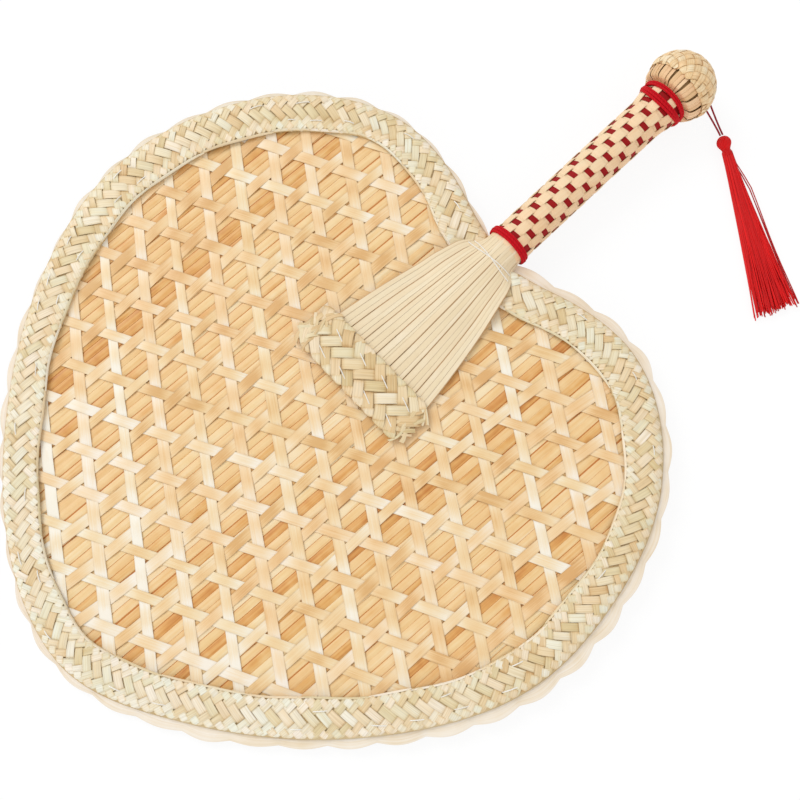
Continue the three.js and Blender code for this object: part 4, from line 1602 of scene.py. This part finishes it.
    def _is_front(self, index: int) -> bool:
        """Tells whether a strip spreads over the front of the blade."""
        return abs(self.bearing(index, self.neck_height)) < math.pi / 2

    def _front_bearing(self, index: int, height: float) -> float:
        """Returns a strip's bearing as seen from its own face of the fan."""
        bearing = self.bearing(index, height)
        return bearing if self._is_front(index) else math.copysign(math.pi - abs(bearing), bearing)

    def skirt_station(self, index: int, height: float) -> Station:
        """Gives a station of a strip where it spreads over the blade.

        Args:
            index: The strip.
            height: The station's height.

        Returns:
            The station.
        """
        face = 1 if self._is_front(index) else -1
        mates = [other for other in range(self.strips) if self._is_front(other) == self._is_front(index)]
        widest = max(self._front_bearing(other, self.neck_height) for other in mates)
        place = self._front_bearing(index, self.neck_height) / widest
        along = (self.skirt_top - height) / self.skirt_length
        spread_half = mix(self.skirt_neck_half, self.skirt_end_width / 2, along)
        half = spread_half + self.skirt_bow * along * (1 - along)
        flat_width = 2 * half / len(mates) - self.strip_gap
        reach = half - flat_width / 2
        slope = (self.level_radius - self.fork_tip - self.fork_cover) / (self.skirt_top - self.fork_end)
        over_fork = max(self.skirt_flat, self.fork_tip + self.fork_cover + slope * (height - self.fork_end))
        raised = ease(height, self.rim_reach - self.skirt_rise, self.rim_reach)
        side = self.skirt_flat + self.rim_lift * raised
        drop = max(over_fork - side, 0.0)
        crown = arch(place)
        spread = 1 - ease(height, self.notch_height, self.skirt_top)
        bearing = self._front_bearing(index, height)
        tilt = mix(bearing, math.atan(4 * drop * place * crown / reach), spread)
        centre = Vector((
            mix(self.level_radius * math.sin(bearing), place * reach, spread),
            height,
            face * mix(self.level_radius * math.cos(bearing), side + drop * crown * crown, spread)))
        across = Vector((face * math.cos(tilt), 0, -math.sin(tilt)))
        out = Vector((math.sin(tilt), 0, face * math.cos(tilt)))
        return Station(centre, across, out, mix(self.strip_width, flat_width, spread))

    def _collar(self, index: int) -> list[Station]:
        """Gives the stations where a strip flares out under the knob's cap.

        Args:
            index: The strip.

        Returns:
            The stations.
        """
        line = []
        for curve in (self.flare, self.cup):
            corners = (Vector((self.head_radius + out, self.top + up, 0)) for out, up in curve)
            points = interpolate_bezier(*corners, self.collar_steps)
            line.extend(points[1:] if line else points)
        last = len(line) - 1
        stations = []
        for step, point in enumerate(line):
            tangent = line[min(step + 1, last)] - line[max(step - 1, 0)]
            width = 2 * math.pi * point.x / self.strips * mix(*self.collar_tapers, step / last)
            lean = math.atan2(tangent.x, tangent.y)
            stations.append(self._station(index, point.x, point.y, width, lean))
        return stations

    def _strip(self, index: int) -> None:
        """Makes one strip: three splits over the blade, then one width up the handle to the knob.

        Args:
            index: The strip.
        """
        strands = Strands(self.first_seed + index)
        chance = strands.chance
        tone = chance.uniform(*self.grip_tones)
        low_end = self.skirt_top - self.skirt_length - self.skirt_tuck
        heights = spaced(low_end, self.skirt_top + self.strip_lap, self.skirt_steps)
        skirt = [self.skirt_station(index, height) for height in heights]
        # The lining under the splits takes the darkest tone, so the gaps between splits show thin dark lines:
        # painted shade in the gaps
        lining = [station.lifted(-self.lining_depth, 2 * self.strip_gap) for station in skirt]
        strands.band(lining, 0.0, 0.0, 1)
        left_cut = chance.uniform(-self.cut_far, -self.cut_near)
        cuts = [-1.0, left_cut, chance.uniform(self.cut_near, self.cut_far), 1.0]
        for low, high in zip(cuts, cuts[1:]):
            lift = chance.uniform(*self.skirt_lifts)
            raised = [station.lifted(lift) for station in skirt]
            edges = (low + self.cut_gap, high - self.cut_gap)
            own_tone = chance.uniform(*self.skirt_tones)
            strands.band(raised, own_tone, self.skirt_crown, self.skirt_columns, edges)
        top = self.top + self.flare[0][1]
        steps = round((top - self.skirt_top) / (self.weft_pitch / self.steps_per_turn))
        grip = [
            self._station(index, self._radius(index, height), height, self.strip_width)
            for height in spaced(self.skirt_top - self.strip_lap, top, steps)
        ]
        strands.band(grip, tone, self.strip_crown, self.grip_columns)
        collar = self._collar(index)
        for split in range(self.collar_splits):
            low, high = (2 * (split + side) / self.collar_splits - 1 for side in (0, 1))
            edges = (low + chance.uniform(0.0, self.collar_gap), high - chance.uniform(0.0, self.collar_gap))
            lift = chance.uniform(*self.collar_lifts)
            raised = [station.lifted(lift) for station in collar]
            own_tone = chance.uniform(*self.collar_tones)
            strands.band(raised, own_tone, self.collar_crown, self.collar_columns, edges)
        number = f"{index + 1:02d}"
        name, node = f"woven_strip_{number}", f"palm_strip_{number}"
        strands.finish(name, PALM_LEAF, self.to_row, "fan", [node], self.strip_thickness)

    def _weft(self) -> None:
        """Winds the red ribbon round the handle through the strips."""
        strands = Strands(self.weft_seed)
        upright = Vector((0, 1, 0))
        stations = []
        for step in range(self.weft_turns * self.strips * self.weft_steps + 1):
            turn = step / (self.weft_steps * self.strips)
            height = self.weft_start + self.weft_pitch * turn
            radius = self._level(height) + self.weft_lift
            wound = self._station(turn * self.strips + 0.5, radius, height, self.weft_width)
            stations.append(Station(wound.centre, upright, wound.out, wound.width))
        strands.band(stations, self.weft_tone, self.weft_crown, self.weft_columns)
        strands.finish("weft_ribbon", RED_RIBBON, self.to_row, "fan", ["red_weft"], self.weft_thickness)

    def _binding(self, name: str, middle: float, radius: float, turns: int, sag: float = 0.0) -> None:
        """Winds yarn round the strips, in turns that lie side by side and swell in the middle.

        Args:
            name: The start of the piece's and the node's names.
            middle: The binding's height.
            radius: The yarn's distance from the axis at the ends.
            turns: How often it goes round.
            sag: How far it slips towards the blade on the front.
        """
        strands = Strands(self.yarn_seed)
        pitch = self.slipped_pitch if sag else 1.0
        points = []
        for share in (step / (turns * self.yarn_steps) for step in range(turns * self.yarn_steps + 1)):
            bulge = self.yarn_bulge * math.sin(math.pi * share)
            bearing = 2 * math.pi * turns * share + math.pi
            slip = sag * (self.sag_shares[0] - self.sag_shares[1] * share) * max(math.cos(bearing), 0.0)
            rise = self.yarn_pitch * turns * (share - 0.5) * pitch
            points.append(self.around(radius + bulge, bearing, middle + rise - slip))
        strands.tube(points, self.yarn_radius, self.yarn_tone, self.yarn_sides)
        strands.finish(f"{name}_yarn", RED_YARN, self.to_row, "fan", [f"{name}_binding"])


@dataclass(frozen=True)
class Knob:
    """The woven cap on the end of the handle: two sets of strips that cross over its pole."""

    to_row: Matrix
    seed: int = 71
    height: float = 211.3
    radius: float = 15.97
    edge_drop: float = 2.6
    turn: float = math.pi / 4
    pitch: float = 4.1
    stray: float = 0.06
    fill: float = 0.97
    fill_spread: Range = (0.88, 1.04)
    ragged: Range = (-0.05, 0.03)
    wave: float = 0.34
    crown: float = 0.12
    thickness: float = 0.24
    tuck: float = 0.5
    tuck_angle: float = 0.16
    tones: Range = (0.3, 0.9)
    # Painted light and shade: a strip is paler where it passes over another and darker where it dives under one;
    # the offset lowers its whole tone a little
    painted_shading: float = 0.22
    shading_offset: float = 0.1
    steps_per_pitch: int = 6
    columns: int = 3

    def build(self) -> None:
        """Weaves the dome."""
        strands = Strands(self.seed)
        last = int(self.radius * self._edge_angle() / self.pitch)
        for lengthwise in (True, False):
            for line in range(-last, last + 1):
                self._strip(strands, line, lengthwise)
        strands.finish("woven_cap", KNOB_STRAW, self.to_row, "fan", ["knob_cap"], self.thickness)

    def _edge_angle(self) -> float:
        """Returns the angle from the pole to the cap's edge."""
        return math.pi / 2 + math.asin(self.edge_drop / self.radius)

    def _on_dome(self, polar: float, bearing: float, lift: float) -> Vector:
        """Gives a point on the dome.

        Args:
            polar: The angle from the pole.
            bearing: The angle round the pole.
            lift: How far over the dome it is.

        Returns:
            The point.
        """
        away = self.radius + lift
        out = away * math.sin(polar)
        y = self.height + away * math.cos(polar)
        return Vector((out * math.cos(bearing), y, out * math.sin(bearing)))

    def _strip(self, strands: Strands, line: int, lengthwise: bool) -> None:
        """Lays one strip across the dome, over and under those that cross it.

        Args:
            strands: The mesh that it goes into.
            line: The strip's number from the pole.
            lengthwise: Which of the two sets it belongs to.
        """
        chance = strands.chance
        edge = self._edge_angle() + chance.uniform(*self.ragged)
        middle = self.pitch * (line + strands.jitter(self.stray))
        half_length = math.sqrt((self.radius * self._edge_angle()) ** 2 - middle * middle)
        half_width = self.pitch / 2 * self.fill * chance.uniform(*self.fill_spread)

        def over(along: float) -> float:
            """Gives 1 where the strip passes over another and -1 where it passes under one."""
            return math.cos(math.pi * (along / self.pitch + line + lengthwise))

        def place(share: float, side: float) -> Vector:
            """Gives a point of the strip, which is tucked in at the cap's edge."""
            along = mix(-half_length, half_length, share)
            across = middle + (side if lengthwise else -side) * half_width
            x, y = (along, across) if lengthwise else (across, along)
            polar = min(math.hypot(x, y) / self.radius, edge)
            tucked = self.tuck * ease(polar, edge - self.tuck_angle, edge)
            lift = self.wave * over(along) + self.crown * arch(side) - tucked
            return self._on_dome(polar, math.atan2(y, x) + self.turn, lift)

        def shade(share: float) -> float:
            """Gives painted shade where the strip dives under another and painted light where it passes over."""
            return self.painted_shading * over(mix(-half_length, half_length, share)) - self.shading_offset

        steps = max(LEAST_STEPS, round(2 * half_length / self.pitch * self.steps_per_pitch))
        strands.ribbon(steps, self.columns, 2 * half_length, chance.uniform(*self.tones), place, shade)


@dataclass(frozen=True)
class Tassel:
    """The silk tassel and its loop, which lie on the floor beside the knob."""

    bearing: float = math.radians(-30.3)
    seeds: tuple[int, ...] = (81, 82, 83, 85, 84)
    head_radius: float = 3.25
    head_length: float = 7.5
    bulb_length: float = 3.4
    ridges: int = 26
    ridge_height: float = 0.035
    ridge_faces: int = 4
    head_steps: int = 26
    head_tone: float = 0.6
    neck_radius: float = 1.8
    wrap_length: float = 2.6
    wrap_turns: int = 6
    wrap_steps: int = 24
    wrap_sides: int = 6
    wrap_lift: float = 0.15
    wrap_radius: float = 0.26
    thread_tone: float = 0.5
    floor_gap: float = 0.1
    settle_share: float = 0.34
    strand_start: float = 0.6
    strand_length: float = 76.4
    length_spread: float = 1.1
    length_slant: float = 1.2
    strand_steps: int = 12
    strand_count: int = 230
    strand_radius: float = 0.27
    strand_sides: int = 5
    strand_tones: Range = (0.35, 0.9)
    neck_spread: float = 0.4
    spread: float = 1.25
    end_half_width: float = 10.0
    end_half_height: float = 2.1
    sway: float = 0.35
    sway_waves: float = 2.5
    sway_phases: float = 6.0
    locks: float = 5.5
    gather: float = 0.55
    gather_power: int = 3
    stray_count: int = 3
    strays: Range = (1.6, 3.0)
    stray_places: Range = (0.8, 1.0)
    stray_leaves: Range = (0.08, 0.24)
    stray_returns: Range = (0.3, 1.0)
    stray_return: float = 0.3
    stray_tones: Range = (0.02, 0.15)
    core_radius: float = 0.4
    core_start: float = 0.4
    core_head_steps: int = 6
    core_sides: int = 6
    loop_radius: float = 0.43
    loop_sides: int = 10
    bend_radius: float = 1.75
    bend_steps: int = 15
    leg_inset: float = 0.62
    leg_gap: float = 0.6
    leg_hold: float = 7.0
    leg_release: float = 2.0
    leg_steps: int = 12

    @property
    def floor(self) -> float:
        """The height of a strand that lies on the floor, from the head's middle."""
        return -self.head_radius - self.floor_gap + self.strand_radius

    def build(self) -> None:
        """Makes the head, its wrap, the strands and the loop."""
        joints = {joint["name"]: joint for joint in frame["joints"]}
        head = Vector(joints["tassel_swing"]["pos_m"])
        to_row = Matrix.Translation(head) @ Matrix.Rotation(self.bearing, 4, "Z") @ Matrix.Scale(MM, 4)
        bulb, wrap, fringe, core, loop = map(Strands, self.seeds)
        pieces = [self._head(bulb, to_row), self._wrap(wrap, to_row), self._fringe(fringe, to_row)]
        self._core(core, to_row, pieces)
        self._loop(loop, Vector(joints["loop_swing"]["pos_m"]), head)

    def _head(self, strands: Strands, to_row: Matrix) -> bpy.types.Object:
        """Makes the bulb of folded strands.

        Args:
            strands: The mesh that it goes into.
            to_row: From the tassel's frame to the row's.

        Returns:
            The piece.
        """
        length = self.head_length + self.wrap_length

        def radius(x: float) -> float:
            """Gives the bulb's radius at a distance from its top."""
            bulb = math.sqrt(max(1 - (1 - min(x / self.bulb_length, 1.0)) ** 2, 0.0))
            narrowed = ease(x, self.bulb_length, self.head_length)
            return mix(self.head_radius * bulb, self.neck_radius, narrowed)

        def place(share: float, side: float) -> Vector:
            """Gives a point of the bulb."""
            x, angle = share * length, math.pi * side
            out = radius(x) * (1 + self.ridge_height * math.cos(self.ridges * angle))
            return Vector((x, out * math.cos(angle), out * math.sin(angle)))

        strands.ribbon(self.head_steps, self.ridge_faces * self.ridges, length, self.head_tone, place)
        return strands.finish("tassel_bulb", RED_SILK, to_row, "tassel", ["tassel_head"])

    def _wrap(self, strands: Strands, to_row: Matrix) -> bpy.types.Object:
        """Winds the thread round the neck.

        Args:
            strands: The mesh that it goes into.
            to_row: From the tassel's frame to the row's.

        Returns:
            The piece.
        """
        radius = self.neck_radius + self.wrap_lift
        steps = self.wrap_turns * self.wrap_steps
        points = []
        for step in range(steps + 1):
            angle = 2 * math.pi * step / self.wrap_steps
            x = self.head_length + self.wrap_length * step / steps
            points.append(Vector((x, radius * math.cos(angle), radius * math.sin(angle))))
        strands.tube(points, self.wrap_radius, self.thread_tone, self.wrap_sides)
        return strands.finish("tassel_thread", RED_SILK, to_row, "tassel", ["tassel_wrap"])

    def _fringe(self, strands: Strands, to_row: Matrix) -> bpy.types.Object:
        """Lays the loose strands, which fan out over the floor.

        Args:
            strands: The mesh that it goes into.
            to_row: From the tassel's frame to the row's.

        Returns:
            The piece.
        """
        chance = strands.chance
        start = self.head_length + self.strand_start
        for strand in range(self.strand_count):
            angle, away = chance.uniform(0, 2 * math.pi), math.sqrt(chance.random())
            y0, z0 = away * math.cos(angle), away * math.sin(angle)
            length = self.strand_length + chance.gauss(0, self.length_spread) - self.length_slant * y0
            sway, phase = chance.gauss(0, self.sway), chance.uniform(0, self.sway_phases)
            stray = chance.uniform(*self.strays) if strand < self.stray_count else 0.0
            if stray:
                y0 = chance.uniform(*self.stray_places)
            lock = (math.floor(y0 * self.locks) + 0.5) / self.locks
            points = []
            for share in (step / self.strand_steps for step in range(self.strand_steps + 1)):
                fanned = share ** self.spread
                half_width = mix(self.neck_radius + self.neck_spread, self.end_half_width, fanned)
                half_height = mix(self.neck_radius, self.end_half_height, share)
                gathered = mix(y0, lock, self.gather * share ** self.gather_power)
                swing = math.sin(self.sway_waves * math.pi * share + phase) * share
                returned = self.stray_return * ease(share, *self.stray_returns)
                left = ease(share, *self.stray_leaves) * (1 - returned)
                aside = gathered * half_width + sway * swing + stray * left
                height = max(self._drop(share) + z0 * half_height, self.floor)
                points.append(Vector((start + share * length, aside, height)))
            tone = chance.uniform(*(self.stray_tones if stray else self.strand_tones))
            strands.tube(points, self.strand_radius, tone, self.strand_sides)
        return strands.finish("tassel_fringe", RED_SILK, to_row, "tassel", ["tassel_strands"])

    def _drop(self, share: float) -> float:
        """Returns how low the middle of the strands lies at a share of their length."""
        return mix(0.0, self.floor + self.end_half_height, ease(share, 0, self.settle_share))

    def _core(self, strands: Strands, to_row: Matrix, pieces: Sequence[bpy.types.Object]) -> None:
        """Makes the thickest strand, a cord that runs on from the loop through the whole tassel.

        Args:
            strands: The mesh that it goes into.
            to_row: From the tassel's frame to the row's.
            pieces: The head, the wrap and the other strands. Not used.
        """
        start = self.head_length + self.strand_start
        points = [Vector((x, 0, 0)) for x in spaced(self.core_start, start, self.core_head_steps)[:-1]]
        for share in spaced(0, 1, self.strand_steps + 1):
            points.append(Vector((start + share * self.strand_length, 0, self._drop(share))))
        strands.tube(points, self.core_radius, self.thread_tone, self.core_sides)
        core = strands.finish("tassel_core", RED_SILK, to_row, "tassel", ["tassel_strands"])
        path = [to_row @ point for point in points]
        length = line_length(path)
        log.info("tassel_core: %.1f mm long", length / MM)
        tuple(path[0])

    def _loop(self, strands: Strands, bend: Vector, head: Vector) -> None:
        """Makes the loop as one cord from the head round the bend and back.

        Args:
            strands: The mesh that it goes into.
            bend: The middle of the bend, behind the knob.
            head: The top of the tassel's head.
        """
        away = Vector((math.cos(self.bearing), math.sin(self.bearing), 0))
        end = head - away * self.leg_gap * MM
        run = (end - bend).normalized()
        beside = Vector((-run.y, run.x, 0)).normalized()
        radius = self.bend_radius * MM
        hold, release = run * self.leg_hold * MM, run * self.leg_release * MM
        foot, shoulder = end - beside * self.leg_inset * MM, bend - beside * radius
        leg = interpolate_bezier(foot, foot - hold, shoulder + release, shoulder, self.leg_steps)
        arc = [
            bend - run * radius * math.cos(angle) + beside * radius * math.sin(angle)
            for angle in spaced(-math.pi / 2, math.pi / 2, self.bend_steps)
        ]
        foot, shoulder = end + beside * self.leg_inset * MM, bend + beside * radius
        back = interpolate_bezier(shoulder, shoulder + release, foot - hold, foot, self.leg_steps)
        path = [*leg[:-1], *arc, *back[1:]]
        strands.tube([point / MM for point in path], self.loop_radius, self.thread_tone, self.loop_sides)
        loop = strands.finish("loop_cord", LOOP_SILK, Matrix.Scale(MM, 4), "loop", ["tassel_loop"])
        length = line_length(path)
        log.info("loop_cord: %.1f mm long", length / MM)


@dataclass(frozen=True)
class Sewing:
    """The pale thread: stitches through the plaits and patches, and turns round the neck."""

    to_row: Matrix
    rims: RimPlaits
    patches: SkirtPatches
    handle: Handle
    seed: int = 91
    radius: float = 0.26
    sides: int = 6
    tones: Range = (0.5, 1.0)
    stitch_heights: Range = (-0.5, 0.75)
    stitch_roundness: float = 0.6
    stitch_steps: int = 8
    rim_pitch: float = 19.0
    rim_share: float = 0.45
    # The lines of stitches, as distances across the plait and shares of the pitch along it
    rim_lines: tuple[Range, ...] = ((4.2, 0.0), (11.6, 0.5))
    rim_stray: float = 0.2
    rim_breadth_stray: float = 0.8
    rim_lengths: Range = (5.0, 8.0)
    rim_slant: float = 1.2
    patch_lines: Range = (4.5, 15.0)
    patch_stitches: int = 4
    patch_start: float = 10.0
    patch_pitch: float = 14.0
    patch_stray: float = 1.5
    patch_length: float = 8.5
    patch_slant: float = 3.0
    patch_lift: float = 0.1
    neck_height: float = 91.0
    neck_slant: float = 1.3
    neck_lift: float = 0.7
    neck_shares: tuple[float, ...] = (0.0, 0.33, 0.67)
    neck_tone: float = 0.75

    def build(self) -> None:
        """Sews the rims, the patches and the neck."""
        strands = Strands(self.seed)
        for face in Face:
            self._rim(strands, face)
            self._patch(strands, face)
        self._neck(strands)
        strands.finish("sewing_thread", WHITE_THREAD, self.to_row, "fan")

    def _stitch(self, strands: Strands, at: OnStrand) -> None:
        """Adds one stitch, which dives into the straw at both ends.

        Args:
            strands: The mesh that it goes into.
            at: Gives a point for a share of its length and a height.
        """
        low, high = self.stitch_heights
        points = [
            at(share, mix(low, high, math.sin(math.pi * share) ** self.stitch_roundness))
            for share in spaced(0.0, 1.0, self.stitch_steps)
        ]
        strands.tube(points, self.radius, strands.chance.uniform(*self.tones), self.sides)

    def _rim(self, strands: Strands, face: Face) -> None:
        """Sews a plait to the blade with two lines of running stitches.

        Args:
            strands: The mesh that it goes into.
            face: The face of the blade.
        """
        chance = strands.chance
        count = int(self.rims.edge.length / self.rim_pitch)
        for stitch in range(1, count - 1):
            for middle, shift in self.rim_lines:
                if chance.random() > self.rim_share:
                    continue
                start = (stitch + shift + strands.jitter(self.rim_stray)) * self.rim_pitch
                breadth = middle + strands.jitter(self.rim_breadth_stray)
                length, aside = chance.uniform(*self.rim_lengths), strands.jitter(self.rim_slant)
                self._stitch(strands, lambda share, height: self.rims.place(
                    start + share * length, breadth + share * aside, height, face))

    def _patch(self, strands: Strands, face: Face) -> None:
        """Sews a patch down with slanting stitches along both of its edges.

        Args:
            strands: The mesh that it goes into.
            face: The face of the blade.
        """
        for breadth in self.patch_lines:
            for stitch in range(self.patch_stitches):
                start = self.patch_start + self.patch_pitch * stitch + strands.jitter(self.patch_stray)
                self._stitch(strands, lambda share, height: self.patches.place(
                    start + share * self.patch_length, breadth + share * self.patch_slant,
                    height + self.patch_lift, face))

    def _neck(self, strands: Strands) -> None:
        """Ties a thread twice round the skirt below the neck, crossed on both faces.

        Args:
            strands: The mesh that it goes into.
        """
        handle = self.handle
        for slant in (1, -1):
            ring = []
            for index in range(handle.strips):
                aside = math.sin(handle.bearing(index, handle.neck_height))
                height = self.neck_height + slant * self.neck_slant * aside
                ring.append(handle.skirt_station(index, height).lifted(self.neck_lift).centre)
            ring.append(ring[0])
            points = [a.lerp(b, share) for a, b in zip(ring, ring[1:]) for share in self.neck_shares]
            strands.tube([*points, ring[0]], self.radius, self.neck_tone, self.sides)


@dataclass(frozen=True)
class Studio:
    """A white floor, soft light from two sides and a camera at the photograph's place."""

    to_row: Matrix
    camera_place: Point = (84.5, -34.3, 474.2)
    camera_look: Point = (-0.138938, 0.112467, -0.983894)
    camera_up: Point = (-0.713376, 0.677744, 0.178209)
    lens: float = 50.0
    clip_start: float = 0.01
    key_place: Point = (-2.6, -0.2, 2.7)
    key_power: float = 50.0
    fill_place: Point = (2.0, -1.9, 1.0)
    fill_power: float = 16.0
    lamp_size: float = 1.8
    world_light: float = 0.672
    floor_half_size: float = 4.0
    floor_colour: Colour = (0.93, 0.93, 0.93, 1.0)
    floor_glow: float = 0.86
    floor_white: float = 1.03

    def build(self) -> None:
        """Makes the camera, the lights and the floor."""
        scene = bpy.context.scene
        scene.view_settings.view_transform = "Standard"
        self._camera(scene)
        self._lamp(scene, "key", self.key_place, self.key_power)
        self._lamp(scene, "fill", self.fill_place, self.fill_power)
        self._world(scene)
        self._floor(scene)

    def _camera(self, scene: bpy.types.Scene) -> None:
        """Places the camera.

        Args:
            scene: The scene.
        """
        turn = self.to_row.to_3x3().normalized()
        look, up = turn @ Vector(self.camera_look), turn @ Vector(self.camera_up)
        right = look.cross(up).normalized()
        pose = Matrix((right, right.cross(look), -look)).transposed().to_4x4()
        data = bpy.data.cameras.new("camera")
        data.lens = self.lens
        data.clip_start = self.clip_start
        camera = bpy.data.objects.new("camera", data)
        camera.matrix_world = Matrix.Translation(self.to_row @ Vector(self.camera_place)) @ pose
        scene.collection.objects.link(camera)
        scene.camera = camera

    def _lamp(self, scene: bpy.types.Scene, name: str, place: Point, power: float) -> None:
        """Places a soft lamp that shines on the fan.

        Args:
            scene: The scene.
            name: The lamp's name.
            place: Where it is, in metres.
            power: Its power in watts.
        """
        data = bpy.data.lights.new(name, "AREA")
        data.energy = power
        data.size = self.lamp_size
        lamp = bpy.data.objects.new(name, data)
        lamp.location = place
        lamp.rotation_euler = (-Vector(place)).to_track_quat("-Z", "Y").to_euler()
        scene.collection.objects.link(lamp)

    def _world(self, scene: bpy.types.Scene) -> None:
        """Lights the scene evenly and shows white behind it.

        Args:
            scene: The scene.
        """
        world = bpy.data.worlds.new("studio")
        scene.world = world
        shader = Shader(world)
        level = shader.node("ShaderNodeMix", None, {0: shader.sight(), 2: self.world_light, 3: 1.0})
        sky = shader.node("ShaderNodeBackground", None, {"Color": WHITE, "Strength": level})
        shader.end(sky, "ShaderNodeOutputWorld")

    def _floor(self, scene: bpy.types.Scene) -> None:
        """Lays a white floor that keeps a pale shadow.

        Args:
            scene: The scene.
        """
        material = bpy.data.materials.new("floor")
        shader = Shader(material)
        matt = shader.node("ShaderNodeBsdfDiffuse", None, {"Color": self.floor_colour})
        glow = shader.node("ShaderNodeEmission", None, {"Color": WHITE, "Strength": self.floor_white})
        share = shader.sight() * self.floor_glow
        shader.end(shader.node("ShaderNodeMixShader", None, {0: share, 1: matt, 2: glow}))
        mesh = bmesh.new()
        bmesh.ops.create_grid(mesh, x_segments=1, y_segments=1, size=self.floor_half_size)
        data = bpy.data.meshes.new("floor")
        mesh.to_mesh(data)
        mesh.free()
        data.materials.append(material)
        floor = bpy.data.objects.new("floor", data)
        scene.collection.objects.link(floor)


def dress_solids() -> None:
    """Gives the solids that stay, the stick and the ball under the cap, their wood."""
    for name in ("handle_stick", "knob_core"):
        node = frame["nodes"][name]
        node.data.materials.clear()
        node.data.materials.append(material_of(STICK_WOOD))
        log.info("%s: kept, in wood", name)


def main() -> None:
    """Builds the fan piece by piece."""
    to_row = FanFrame().to_row()
    Studio(to_row).build()
    Tassel().build()
    edge = HeartEdge(Heart())
    StrawMat(edge, to_row).build()
    Lattice(edge, to_row).build()
    rims = RimPlaits(edge, to_row)
    rims.build()
    patches = SkirtPatches(to_row)
    patches.build()
    handle = Handle(to_row)
    handle.build()
    Knob(to_row).build()
    Sewing(to_row, rims, patches, handle).build()
    dress_solids()


if __name__ == "__main__":
    main()
